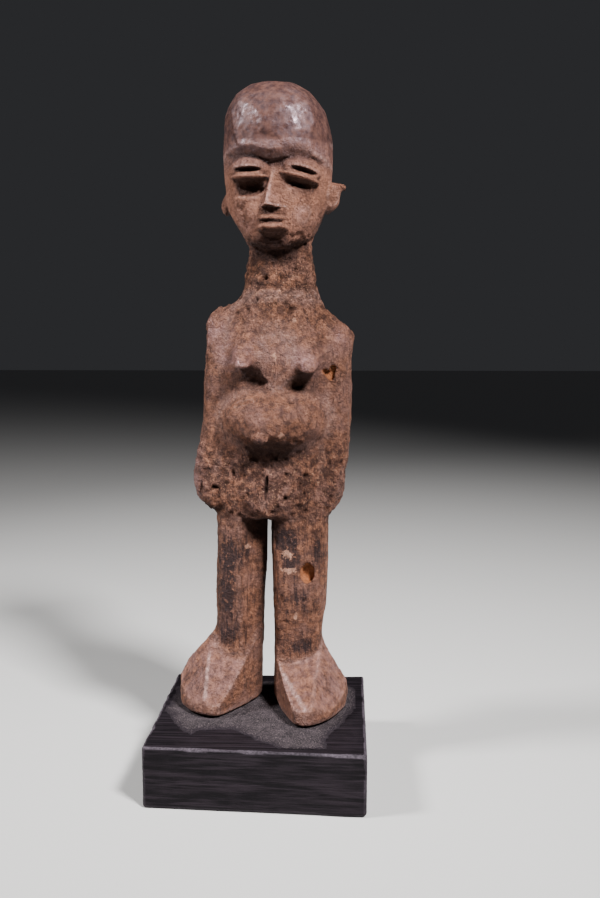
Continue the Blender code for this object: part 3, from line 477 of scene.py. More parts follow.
def column(points, stations, power, rounding=1.5):
    """An upright form through its stations, with rounded ends."""
    z = points[:, 2]
    heights, *sizes = row(stations).T
    middle, half_width, front, back = (through_stations(z, heights, size) for size in sizes)
    wall = oval(points, middle, half_width, front, back, power)
    bottom = smooth_common(wall, heights[0] - z, rounding)
    return smooth_common(bottom, z - heights[-1], rounding)


def ellipsoid(points, centre, radii, turn_x=0, turn_y=0):
    """An ellipsoid turned about X, then Y."""
    local = points - row(centre)
    for axis, angle in ((1, -turn_y), (0, -turn_x)):
        if angle:
            local = rotated(local, axis, angle)
    scaled = local / row(radii)
    near = np.sqrt((scaled ** 2).sum(1)) + TINY
    slope = np.sqrt(((scaled / row(radii)) ** 2).sum(1)) + TINY
    return near * (near - 1) / slope


def rotated(points, axis, angle):
    """Points turned about one coordinate axis through the origin."""
    first, second = [(1, 2), (2, 0), (0, 1)][axis]
    result = points.copy()
    result[:, first] = math.cos(angle) * points[:, first] - math.sin(angle) * points[:, second]
    result[:, second] = math.sin(angle) * points[:, first] + math.cos(angle) * points[:, second]
    return result


def rod(points, start, end, start_radius, end_radius):
    """A round bar that may taper, with ball ends."""
    start = row(start)
    axis = row(end) - start
    along = held(((points - start) @ axis) / (axis @ axis))
    gap = points - start - along[:, None] * axis
    return np.sqrt((gap ** 2).sum(1)) - (start_radius + (end_radius - start_radius) * along)


def with_ball(body, points, centre, radii, blend, *turns):
    return smooth_union(body, ellipsoid(points, centre, radii, *turns), blend)


def without_ball(body, points, centre, radii, blend, *turns):
    return smooth_cut(body, ellipsoid(points, centre, radii, *turns), blend)


def with_rod(body, points, start, end, start_radius, end_radius, blend):
    return smooth_union(body, rod(points, start, end, start_radius, end_radius), blend)


def without_rod(body, points, start, end, start_radius, end_radius, blend):
    return smooth_cut(body, rod(points, start, end, start_radius, end_radius), blend)


# The carving's parts


def above_plane(points, corners):
    """Height above a plane through three points."""
    first, second, third = (row(corner) for corner in corners)
    normal = np.cross(second - first, third - first)
    normal *= np.sign(normal[2]) / np.sqrt((normal ** 2).sum())
    return (points - first) @ normal


def polygon_wall(points, corners, blend):
    """Distance to an upright wall round a convex outline with rounded corners."""
    middle = np.mean(corners, axis=0)
    wall = -FAR
    for start, end in zip(corners, corners[1:] + corners[:1]):
        side = row((end[1] - start[1], start[0] - end[0]))
        side /= np.sqrt((side ** 2).sum())
        if (np.array(start) - middle) @ side < 0:
            side = -side
        away = (points[:, :2] - row(start)) @ side
        wall = smooth_common(wall, away, blend)
    return wall


def foot(points, sole, planes):
    """A wedge of a foot: an upright wall round the sole, under sloping planes."""
    block = polygon_wall(points, sole, blend=3)
    top = above_plane(points, planes[0])
    for plane in planes[1:]:
        top = smooth_common(top, above_plane(points, plane), blend=0.6)
    block = smooth_common(block, top, blend=0.5)
    return smooth_common(block, -points[:, 2], blend=1.4)


def legs(points):
    x, y, z = points.T
    (start_x, start_y), (end_x, end_y) = LEFT_LEG_FLAT
    run = math.hypot(end_x - start_x, end_y - start_y)
    flat = ((x - start_x) * (end_y - start_y) - (y - start_y) * (end_x - start_x)) / run
    left_leg = smooth_common(column(points, LEFT_LEG, LEG_SQUARENESS), flat, blend=0.9)
    right_leg = column(points, RIGHT_LEG, LEG_SQUARENESS)
    left = smooth_union(left_leg, foot(points, LEFT_SOLE, LEFT_TOP), blend=2.2)
    right = smooth_union(right_leg, foot(points, RIGHT_SOLE, RIGHT_TOP), blend=2)
    return np.maximum(np.minimum(left, right), -z)


def trunk(points):
    body = column(points, TRUNK, power=2.5, rounding=3)
    for arm in (LEFT_ARM, RIGHT_ARM):
        body = smooth_union(body, column(points, arm, power=2.2, rounding=2.5), blend=2)
    body = smooth_union(body, column(points, NECK, power=2.1, rounding=1), blend=4)
    for change, forms in (
        (without_rod, ARM_GROOVES),
        (with_ball, [BELLY]),
        (without_ball, [UNDER_BELLY]),
        (with_ball, [NAVEL]),
        (without_rod, [BELLY_CRACK]),
        (with_rod, BREASTS),
        (with_ball, [BREAST_BONE]),
        (without_ball, UNDER_BREASTS),
        (with_ball, BUTTOCKS),
        (without_rod, [SPINE]),
        (without_ball, [SLIT]),
        (without_rod, [*FORKS, CLEFT]),
    ):
        for form in forms:
            body = change(body, points, *form)
    return body


def cap(points):
    """The forehead and crown, cut off below in a brow that overhangs the eyes."""
    z = points[:, 2]
    up = np.clip((z - CAP_DOME_FROM) / (CAP_TOP - CAP_DOME_FROM), 0, CAP_LAST)
    shrink = (1 - up ** CAP_FULLNESS) ** (1 / CAP_FULLNESS)
    middle = -CAP_LEFT_LEAN * up ** CAP_LEAN_CURVE
    half_width, front, back = (size * shrink for size in (CAP_HALF_WIDTH, CAP_FRONT, CAP_BACK))
    wall = oval(points, middle, half_width, front, back, HEAD_SQUARENESS)
    dome = smooth_common(wall, z - CAP_TOP, blend=2)
    bevel = BROW_SLOPE * np.clip(BROW_BEVEL + wall, 0, BROW_BEVEL)
    brow = through_stations(points[:, 0], *zip(*BROW))
    underside = (brow + bevel - z) / math.hypot(1, BROW_SLOPE)
    return smooth_common(dome, underside, blend=0.5)


def with_eye(head, points, place, tilt, wrap, hollow):
    """The head with a lid over a slit, a lower lid under it, and a hollow below both."""
    local = points - row(place)
    local = rotated(rotated(local, 2, -wrap), 1, -tilt)
    head = with_ball(head, local, *UPPER_LID)
    head = without_ball(head, local, *hollow)
    head = with_ball(head, local, *LOWER_LID)
    return without_ball(head, local, *EYE_SLIT)


def face(points):
    """The head before it is turned."""
    head = column(points, FACE, HEAD_SQUARENESS, rounding=1.2)
    behind = ramp(points[:, 1], 0, CAP_BEHIND)
    head = smooth_union(head, cap(points), CAP_BLEND + CAP_BLEND_BEHIND * behind)
    for eye in (LEFT_EYE, RIGHT_EYE):
        head = with_eye(head, points, **eye)
    head = smooth_union(head, nose(points), blend=0.5)
    head = without_ball(head, points, *UNDER_LIP)
    for form in (*LIPS, CHEEK, LEFT_EAR):
        head = with_ball(head, points, *form)
    return smooth_union(head, right_ear(points), EAR_BLEND)


def nose(points):
    """A wedge with its ridge to the left, cut off flat below."""
    x, y, z = points.T
    down = held((NOSE_TOP - z) / (NOSE_TOP - NOSE_BASE))
    left, right, ridge, reach = (
        top + (base - top) * down for top, base in (NOSE_LEFT, NOSE_RIGHT, NOSE_RIDGE, NOSE_REACH)
    )
    front = y + NOSE_ROOT
    across = x - NOSE_MIDDLE
    left_side = ((left - across) * reach - front * (ridge - left)) / np.hypot(reach, ridge - left)
    right_side = ((across - right) * reach - front * (right - ridge)) / np.hypot(reach, right - ridge)
    wedge = smooth_common(left_side, right_side, blend=0.9)
    wedge = smooth_common(wedge, NOSE_BASE - z - NOSE_BASE_SLOPE * front, blend=0.35)
    wedge = smooth_common(wedge, z - NOSE_TOP - NOSE_OVER, blend=1)
    return np.maximum(wedge, front - NOSE_SUNK)


def right_ear(points):
    """A cupped ear that comes to a point at the top."""
    ear = with_rod(ellipsoid(points, **RIGHT_EAR), points, *RIGHT_EAR_TIP)
    return without_ball(ear, points, *RIGHT_EAR_CUP)


def head(points):
    local = points - row((HEAD_MIDDLE, 0, CHIN))
    return face(rotated(local, 2, -HEAD_TURN))


def oval_hole(points, x, z, half_width, half_height, end):
    """An oval bore that runs in from the front."""
    ratio = np.hypot((points[:, 0] - x) / half_width, (points[:, 2] - z) / half_height)
    wall = (ratio - 1) * min(half_width, half_height)
    return np.maximum(wall, points[:, 1] - end)


def heart_hole(points):
    """A bore of two lobes that meet in a point below."""
    flat = points * row((1, 0, 1))
    lobes = [rod(flat, *lobe) for lobe in ARM_HOLE_LOBES]
    return np.maximum(np.minimum(*lobes), points[:, 1] - ARM_HOLE_END)


def holes(points):
    """Both bores, which slant to the right and up as they run in."""
    inward = points[:, 1] - HOLE_MOUTH
    slanted = points - inward[:, None] * row(HOLE_SLANT)
    return np.minimum(oval_hole(slanted, **LEG_HOLE), heart_hole(slanted))


def pin_sockets(points):
    """The two bores that take the pins, in the figure's own frame."""
    gap = FAR
    radius = (PIN_RADIUS + PIN_SLACK) / MM
    top = (PIN_TOP + PIN_SLACK - SEAT.z) / MM
    for middle in PIN_MIDDLES:
        x, y = (middle.x - SEAT.x) / MM, (middle.y - SEAT.y) / MM
        wall = np.hypot(points[:, 0] - x, points[:, 1] - y) - radius
        gap = np.minimum(gap, np.maximum(wall, points[:, 2] - top))
    return gap


def upright_of(points):
    """Points as they were before the figure leaned."""
    upright = points.copy()
    upright[:, 0] -= LEAN * points[:, 2] / FIGURE_TALL
    return upright


def whole(points):
    """The figure before it is bored. Forms that a batch of points lies far from are left out."""
    low, high = points[:, 2].min(), points[:, 2].max()
    upright = upright_of(points)
    solid = FAR
    if low < LEGS_END:
        solid = np.minimum(solid, legs(upright))
    if high > TRUNK_START:
        solid = smooth_union(solid, trunk(upright), blend=1.2)
    if high > HEAD_START:
        solid = smooth_union(solid, head(upright), blend=1)
    return solid


def carving(points):
    """The figure with its beetle holes and the sockets for the pins."""
    solid = smooth_cut(whole(points), holes(upright_of(points)), blend=0.3)
    if points[:, 2].min() < SOCKETS_END:
        solid = np.maximum(solid, -pin_sockets(points))
    return solid


# Skinning a distance field


def field_grid(field, low, step, counts):
    """The field at every point of a grid, worked out in slabs."""
    axes = [low[i] + step * np.arange(counts[i], dtype=np.float32) for i in range(3)]
    values = np.empty(counts, np.float32)
    for start in range(0, counts[2], SLAB_LAYERS):
        layers = axes[2][start:start + SLAB_LAYERS]
        x, y, z = np.meshgrid(axes[0], axes[1], layers, indexing="ij")
        points = np.stack([x.ravel(), y.ravel(), z.ravel()], 1)
        values[:, :, start:start + SLAB_LAYERS] = field(points).reshape(x.shape)
    return values


def net_of(values, low, step):
    """Points and four-sided faces of the zero surface of a grid."""
    inside = values < 0
    counts = np.array(values.shape)
    corners = [(i, j, k) for i in (0, 1) for j in (0, 1) for k in (0, 1)]

    def corner_view(array, corner):
        return array[tuple(slice(c, n - 1 + c) for c, n in zip(corner, counts))]

    filled = sum(corner_view(inside, corner).astype(np.int8) for corner in corners)
    cells = np.argwhere((filled > 0) & (filled < 8))
    at_corner = {c: values[tuple((cells + c).T)] for c in corners}
    total = np.zeros((len(cells), 3), np.float32)
    crossings = np.zeros(len(cells), np.float32)
    for start in corners:
        for axis in range(3):
            if start[axis]:
                continue
            end = tuple(1 if i == axis else c for i, c in enumerate(start))
            first, second = at_corner[start], at_corner[end]
            crossed = (first < 0) != (second < 0)
            share = np.where(crossed, first / np.where(crossed, first - second, 1), 0)
            place = row(start) + share[:, None] * (np.arange(3) == axis)
            total += place * crossed[:, None]
            crossings += crossed
    points = row(low) + step * (cells + total / crossings[:, None])
    number = np.full(counts - 1, -1, np.int32)
    number[tuple(cells.T)] = np.arange(len(cells))
    faces = []
    for axis in range(3):
        second, third = (axis + 1) % 3, (axis + 2) % 3
        ahead = np.roll(inside, -1, axis)
        crossed = inside != ahead
        crossed[tuple(slice(-1, None) if i == axis else slice(None) for i in range(3))] = False
        edges = np.argwhere(crossed)
        leaving = inside[tuple(edges.T)]
        ring = []
        for back_second, back_third in ((0, 0), (1, 0), (1, 1), (0, 1)):
            cell = edges.copy()
            cell[:, second] -= back_second
            cell[:, third] -= back_third
            ring.append(number[tuple(cell.T)])
        quads = np.stack(ring, 1)
        quads[~leaving] = quads[~leaving][:, ::-1]
        faces.append(quads)
    return points, np.concatenate(faces)


def slope_of(field, points):
    """How steeply the field rises along each axis at points."""
    slope = np.empty_like(points)
    for axis in range(3):
        step = np.zeros(3, np.float32)
        step[axis] = SLOPE_PROBE
        slope[:, axis] = field(points + step) - field(points - step)
    slope /= 2 * SLOPE_PROBE
    return slope


def in_slabs(field):
    """A field that handles its points in order of height, so that far forms are skipped."""
    def sorted_field(points):
        order = np.argsort(points[:, 2])
        values = np.empty(len(points), np.float32)
        for part in np.array_split(order, SLABS):
            values[part] = field(points[part])
        return values
    return sorted_field


def settled(field, points):
    """Points moved onto the zero surface, with their normals."""
    for _ in range(SETTLE_ROUNDS):
        slope = slope_of(field, points)
        steep = np.maximum((slope ** 2).sum(1), SLOPE_LEAST)
        move = -(field(points) / steep)[:, None] * slope
        points = points + np.clip(move, -SKIN_STEP / 2, SKIN_STEP / 2)
    slope = slope_of(field, points)
    normals = slope / np.maximum(np.sqrt((slope ** 2).sum(1)), TINY)[:, None]
    return points, normals


def add_object(name, data):
    """An object in the scene, for a mesh, a light or a camera."""
    thing = bpy.data.objects.new(name, data)
    bpy.context.scene.collection.objects.link(thing)
    return thing


def object_from(name, points, faces):
    mesh = bpy.data.meshes.new(name)
    mesh.from_pydata(points.tolist(), [], faces.tolist())
    mesh.validate()
    mesh.shade_smooth()
    return add_object(name, mesh)


def add_masks(mesh, masks):
    """Named shares on each point of a mesh, for its material to read."""
    for name, mask in masks.items():
        attribute = mesh.attributes.new(name, "FLOAT", "POINT")
        attribute.data.foreach_set("value", mask.astype(np.float32))


# Surface of the carving


def value_noise(points, size, seed):
    """Smooth noise from -1 to 1, with lumps of about this size."""
    lattice = np.random.default_rng(seed).uniform(-1, 1, [NOISE_CELLS] * 3).astype(np.float32)
    place = points / row(size) + NOISE_START
    cell = np.floor(place).astype(np.int64)
    part = place - cell
    part = part * part * (3 - 2 * part)
    total = np.zeros(len(points), np.float32)
    for corner in np.ndindex(2, 2, 2):
        share = np.ones(len(points), np.float32)
        for axis in range(3):
            share *= part[:, axis] if corner[axis] else 1 - part[:, axis]
        index = (cell + corner) % NOISE_CELLS
        total += share * lattice[tuple(index.T)]
    return total


def layered_noise(points, layers):
    """Noises added up; each layer is a size, a seed and a height."""
    return sum(value_noise(points, size, seed) * height for size, seed, height in layers)


def peaks(points, size, seed, start, height):
    """The part of a noise that lies above its start, times a height."""
    return np.clip(value_noise(points, size, seed) - start, 0, None) * height


def front_share(points, on_axis, fade):
    """1 at the front and 0 at the back, with a share between them on the axis."""
    return held(on_axis - points[:, 1] / fade)


def bell(points, x, z, wide, tall):
    """A soft spot on the figure's front."""
    away = ((points[:, 0] - x) / wide) ** 2 + ((points[:, 2] - z) / tall) ** 2
    return np.exp(-away) * front_share(points, 0, 4)


def spots(points, places):
    """Soft spots added up, and held at 1."""
    return held(sum(strength * bell(points, *place) for *place, strength in places))


def facet_seeds(points, spacing):
    """Numbers of points that stand about this far apart."""
    taken = {}
    seeds = []
    for index in np.random.default_rng(FACET_SEED).permutation(len(points))[:FACET_TRIES]:
        place = points[index]
        cell = tuple(np.floor(place / spacing).astype(int))
        around = [taken[key] for key in neighbour_cells(cell) if key in taken]
        if all(((place - points[other]) ** 2).sum() > spacing ** 2 for other in around):
            taken[cell] = index
            seeds.append(index)
    return np.array(seeds)


def neighbour_cells(cell):
    return [tuple(np.array(cell) + np.array(step) - 1) for step in np.ndindex(3, 3, 3)]


def facet_lift(points, normals):
    """How far the flats of the adze stand off the smooth form, on each point."""
    squashed = points * row((1, 1, FACET_SQUASH))
    seeds = facet_seeds(squashed, FACET_SPACING)
    tree = kdtree.KDTree(len(seeds))
    for number, index in enumerate(seeds):
        tree.insert(squashed[index], number)
    tree.balance()
    near = np.array([[found[1] for found in tree.find_n(place, FACET_NEIGHBOURS)] for place in squashed])
    lift = np.full(len(points), FAR, np.float32)
    for neighbour in near.T:
        seed = seeds[neighbour]
        alike = (normals * normals[seed]).sum(1)
        height = ((points[seed] - points) * normals[seed]).sum(1) / np.maximum(alike, FACET_ALIKE)
        lift = np.where(alike > FACET_ALIKE, np.minimum(lift, height), lift)
    return np.clip(np.where(lift < FAR / 2, lift, 0), FACET_LOWEST, FACET_HIGHEST)


def surface_masks(points, normals, field):
    """Named shares, 0 to 1, that the wood's material reads."""
    z = points[:, 2]
    upright = upright_of(points)
    unbored = in_slabs(whole)
    # shade: how closed in a place is; hollows are painted darker with it, a painted shade
    shade = 0
    for away in SHADE_REACHES:
        shade = shade + held(1 - field(points + normals * away) / away) / len(SHADE_REACHES)
    foot_top = FOOT_POLISH * ramp(normals[:, 2], 0.25, 0.5) * ramp(z, *FOOT_TOP_FADE)
    polish = through_stations(z, *zip(*POLISH_BY_HEIGHT))
    polish = np.maximum(np.maximum(polish, spots(points, POLISH_SPOTS)), foot_top)
    crust = through_stations(z, *zip(*CRUST_BY_HEIGHT)) * (1 - POLISH_CLEANS * polish)

    # Edges are painted pale, as wear and as painted highlight, except at the holes, in hollows and in a few
    # listed spots
    near_hole = np.abs(holes(upright))
    wear_and_highlight = held((EDGE_PROBE + unbored(points - normals * EDGE_PROBE)) / (EDGE_FULL * EDGE_PROBE))
    wear_and_highlight *= ramp(near_hole, 0.4, 1.4) * ramp(shade, 0.4, 0) * (1 - spots(points, UNWORN_SPOTS))
    for start, end in FOOT_RIDGES:
        ridge = rod(upright, start, end, RIDGE_RADIUS, RIDGE_RADIUS)
        wear_and_highlight = np.maximum(wear_and_highlight, ramp(ridge, 0.75, 0.25))

    # Fresh wood shows on the walls of the holes; deeper inside it gives way to painted shade
    sunk = -unbored(points)
    in_hole = held(1.2 - 4 * near_hole) * held(1.2 * sunk - 0.3)
    return dict(
        shade=shade,
        wear_and_highlight=wear_and_highlight,
        crust=crust,
        polish=polish,
        soot=spots(points, SOOT_SPOTS),
        # fresh wood, less of it with depth in the holes: painted shade
        fresh=in_hole * np.clip(2.4 - sunk / 3, 0.4, 1),
        crown=ramp(z, *CROWN_FADE),
        painted_shade_from_above=shade_from_above(points, normals, field),
        # Painted light: the face's front is laid lighter and warmer, as if lit
        painted_face_light=ramp(z, *FACE_FADE) * ramp(z, *BROW_FADE) * front_share(points, 0.6, 12),
        chip=spots(points, CHIP_SPOTS),
    )


def shade_from_above(points, normals, field):
    """How far a place lies under a ledge, open to little from above; the wood is painted darker there as
    shade.
    """
    start = points + SHELTER_START * normals
    level = math.cos(SHELTER_RISE)
    covered = 0
    for turn in SHELTER_TURNS:
        toward = row((level * math.sin(turn), -level * math.cos(turn), math.sin(SHELTER_RISE)))
        open_share = 1
        for reach in SHELTER_REACHES:
            clear = held(SHELTER_SHARPNESS * field(start + reach * toward) / reach)
            open_share = np.minimum(open_share, clear)
        covered = covered + (1 - open_share) / len(SHELTER_TURNS)
    return ramp(covered, SHELTER_FROM, SHELTER_FULL)


def make_figure():
    field = in_slabs(carving)
    low = np.array((FIGURE_LOW - SEAT) / MM) - SKIN_MARGIN
    high = np.array((FIGURE_HIGH - SEAT) / MM) + SKIN_MARGIN
    counts = tuple(np.ceil((high - low) / SKIN_STEP).astype(int) + 1)
    values = field_grid(carving, low.astype(np.float32), SKIN_STEP, counts)
    points, faces = net_of(values, low, SKIN_STEP)
    points, normals = settled(field, points)
    masks = surface_masks(points, normals, field)
    calm = ramp(pin_sockets(points), 0, SOCKET_CALM) * ramp(points[:, 2], 0, SOLE_CALM)
    calm = calm * (1 - masks["fresh"]) * (1 - SHADE_CALM * masks["shade"])
    facets = (facet_lift(points, normals) - FACET_DROP) * (1 - spots(points, SMOOTH_SPOTS))
    facets *= 1 - CROWN_CALM * masks["crown"]
    crust = layered_noise(points, LUMPS) + peaks(points, *PITS)
    caked = ramp(masks["crust"], CAKED_FROM, 1) * front_share(points, 0.3, 10)
    lift = calm * (facets + crust * (CRUST_LEAST + CRUST_MORE * masks["crust"] + CAKED_MORE * caked))
    masks["lump"] = held(0.5 + crust)
    points = points + normals * lift[:, None]
    figure = object_from("carved_figure_skin", points * MM + row(SEAT), faces)
    add_masks(figure.data, masks)
    figure.data.materials.append(encrusted_wood())
    return figure


# Plinth and filler


def dense_block(name, size):
    """A mesh of a block about the origin, with long cells along X and finer ones at the edges."""
    cells = (GRAIN_CELLS, round(size.y / GRAIN_FINE), round(size.z / GRAIN_FINE))
    form = bmesh.new()
    sides = [(axes, sign) for axes in ((0, 1, 2), (1, 2, 0), (2, 0, 1)) for sign in (1, -1)]
    for (first, second, third), sign in sides:
        lines = []
        for across in edge_dense(size[first], cells[first]):
            line = []
            for along in edge_dense(size[second], cells[second]):
                place = [0, 0, 0]
                place[first], place[second], place[third] = across, along, sign * size[third] / 2
                line.append(form.verts.new(place))
            lines.append(line)
        for line, next_line in zip(lines, lines[1:]):
            for i in range(len(line) - 1):
                ring = (line[i], next_line[i], next_line[i + 1], line[i + 1])
                form.faces.new(ring if sign > 0 else ring[::-1])
    bmesh.ops.remove_doubles(form, verts=form.verts, dist=WELD)
    mesh = bpy.data.meshes.new(name)
    form.to_mesh(mesh)
    form.free()
    return mesh


def make_plinth():
    """A block with its grain along X, worn round at the edges."""
    size = (PLINTH_HIGH - PLINTH_LOW) / MM
    middle = (PLINTH_HIGH + PLINTH_LOW) / 2
    mesh = dense_block("plinth_block", size)
    points = np.empty(len(mesh.vertices) * 3, np.float32)
    mesh.vertices.foreach_get("co", points)
    points = points.reshape(-1, 3)
    half = row(size) / 2
    worn = EDGE_ROUND * (1 + EDGE_UNEVEN * value_noise(points, *EDGE_NOISE))[:, None]
    core = np.clip(points, worn - half, half - worn)
    outward = points - core
    far = np.sqrt((outward ** 2).sum(1))[:, None]
    normal = outward / np.maximum(far, TINY)
    # Edges are painted pale as wear and as painted highlight, full on the top's edges where the light falls
    on_top = normal[:, 2] > 0.05
    near_edge = (np.abs(normal).max(1) < FLAT_COSINE) * np.where(on_top, 1, LOWER_WEAR_AND_HIGHLIGHT)
    points = core + normal * worn
    grain = layered_noise(points, GRAIN)
    points -= normal * (GRAIN_DEPTH * (GRAIN_SET_BACK + grain))[:, None]
    to_left = held(0.5 - points[:, 0] / (2 * half[0]))
    to_front = held(0.5 - points[:, 1] / (2 * half[1]))
    points[:, 1] += FRONT_SKEW * to_left * to_front
    mesh.vertices.foreach_set("co", (points * MM + row(middle)).ravel())
    add_masks(mesh, dict(wear_and_highlight=near_edge))
    mesh.shade_smooth()
    mesh.materials.append(black_paint())
    return add_object("plinth_block", mesh)


def edge_dense(length, cells):
    """Places from end to end, with a few more close to both ends."""
    half = length / 2
    inner = np.linspace(-half + EDGE_BAND, half - EDGE_BAND, cells)
    ends = np.linspace(EDGE_CELL, EDGE_BAND - EDGE_CELL, EDGE_CELLS)
    return np.concatenate([[-half], ends - half, inner, half - ends[::-1], [half]])


def outline_distance(places, outline):
    """Distance to a closed outline in plan, negative inside."""
    nearest = FAR
    inside = np.zeros(len(places), bool)
    for start, end in zip(outline, outline[1:] + outline[:1]):
        start, end = np.array(start), np.array(end)
        run = end - start
        along = held(((places - start) @ run) / (run @ run))
        gap = places - start - along[:, None] * run
        nearest = np.minimum(nearest, np.hypot(gap[:, 0], gap[:, 1]))
        spans = (start[1] > places[:, 1]) != (end[1] > places[:, 1])
        crossing = start[0] + (places[:, 1] - start[1]) / (run[1] if run[1] else 1) * run[0]
        inside ^= spans & (places[:, 0] < crossing)
    return np.where(inside, -nearest, nearest)


def closed_below(points, faces, floor):
    """A sheet made solid: its net again at the floor, turned over, and a wall along the rim."""
    count = len(points)
    under = points.copy()
    under[:, 2] = floor
    edges = np.stack([faces, np.roll(faces, -1, 1)], -1).reshape(-1, 2).tolist()
    owned = {tuple(edge) for edge in edges}
    rim = np.array([edge for edge in edges if (edge[1], edge[0]) not in owned])
    walls = np.stack([rim[:, 1], rim[:, 0], rim[:, 0] + count, rim[:, 1] + count], 1)
    return np.concatenate([points, under]), np.concatenate([faces, faces[:, ::-1] + count, walls])


def make_filler():
    """A thin smear of gritty compound, spread by hand under and round the feet."""
    low, high = BEDDING_LOW / MM, BEDDING_HIGH / MM
    across = np.arange(low.x, high.x, FILLER_STEP)
    along = np.arange(low.y, high.y, FILLER_STEP)
    x, y = np.meshgrid(across, along, indexing="ij")
    places = np.stack([x.ravel(), y.ravel()], 1)
    points = np.column_stack([places, np.zeros(len(places))]).astype(np.float32)
    outside = outline_distance(places, FILLER_OUTLINE) + layered_noise(points, FILLER_WOBBLE)
    depth = np.clip(-outside, -1, FILLER_FEATHER) / FILLER_FEATHER
    grit = peaks(points, *FILLER_GRAINS)
    thick = FILLER_THICK + layered_noise(points, FILLER_SWELL)
    bottom = PLINTH_HIGH.z / MM - FILLER_START
    points[:, 2] = bottom + np.clip(thick * np.sqrt(held(depth)) + grit, 0, high.z - bottom)
    number = np.arange(len(places)).reshape(x.shape)
    faces = np.stack([number[:-1, :-1], number[1:, :-1], number[1:, 1:], number[:-1, 1:]], -1).reshape(-1, 4)
    faces = faces[(depth[faces] > 0).any(1)]
    kept, faces = np.unique(faces, return_inverse=True)
    points, faces = closed_below(points[kept], faces.reshape(-1, 4), bottom - FILLER_SUNK)
    filler = object_from("bedding_smear", points * MM, faces)
    filler.data.set_sharp_from_angle(angle=RIM_ANGLE)
    add_masks(filler.data, dict(thick=np.tile(held(depth[kept]), 2)))
    filler.data.materials.append(gritty_filler())
    return filler


# Materials


class Wire:
    """An output of a material's node, with the arithmetic that goes on from it."""

    def __init__(self, node, output):
        self.tree = node.id_data
        self.socket = node.outputs[output]

    def __add__(self, other):
        return worked("ADD", self, other)

    def __sub__(self, other):
        return worked("SUBTRACT", self, other)

    def __mul__(self, other):
        return worked("MULTIPLY", self, other)


def add_node(tree, kind, output, inputs, **settings):
    """The output of a new node, whose settings are made and whose inputs are wired or set."""
    made = tree.nodes.new(kind)
    for name, value in settings.items():
        setattr(made, name, value)
    for name, value in inputs.items():
        if isinstance(value, Wire):
            tree.links.new(value.socket, made.inputs[name])
        else:
            made.inputs[name].default_value = value
    return Wire(made, output)


def mixed(share, first, second):
    """Two colours mixed; sockets 6 and 7 are the colours of a Mix node, and its output 2 their mix."""
    return add_node(share.tree, "ShaderNodeMix", 2, {0: share, 6: first, 7: second}, data_type="RGBA")


def worked(operation, first, second):
    return add_node(first.tree, "ShaderNodeMath", 0, {0: first, 1: second}, operation=operation)


def noise_share(where, scale, detail=3, rough=0.6):
    inputs = {"Vector": where, "Scale": scale, "Detail": detail, "Roughness": rough}
    return add_node(where.tree, "ShaderNodeTexNoise", "Fac", inputs)


def between(value, low, high, new_low=0, new_high=1):
    """The value's place from low to high, as a number from new_low to new_high."""
    inputs = {"Value": value, "From Min": low, "From Max": high, "To Min": new_low, "To Max": new_high}
    return add_node(value.tree, "ShaderNodeMapRange", "Result", inputs)


def share_of(tree, name):
    return add_node(tree, "ShaderNodeAttribute", "Fac", {}, attribute_name=name)


def stretched(tree, scale):
    """Object coordinates, drawn out by a scale on each axis."""
    where = add_node(tree, "ShaderNodeTexCoord", "Object", {})
    return add_node(tree, "ShaderNodeMapping", "Vector", {"Vector": where, "Scale": scale})


def new_material(name):
    material = bpy.data.materials.new(name)
    material.use_nodes = True
    return material, material.node_tree, material.node_tree.nodes["Principled BSDF"]


def wire_up(shader, **wires):
    """Wires led to the shader's inputs, by the short names of SHADER_INPUTS."""
    for name, wire in wires.items():
        wire.tree.links.new(wire.socket, shader.inputs[SHADER_INPUTS[name]])


def relief(height, distance, strength=1):
    inputs = {"Height": height, "Distance": distance, "Strength": strength}
    return add_node(height.tree, "ShaderNodeBump", "Normal", inputs)


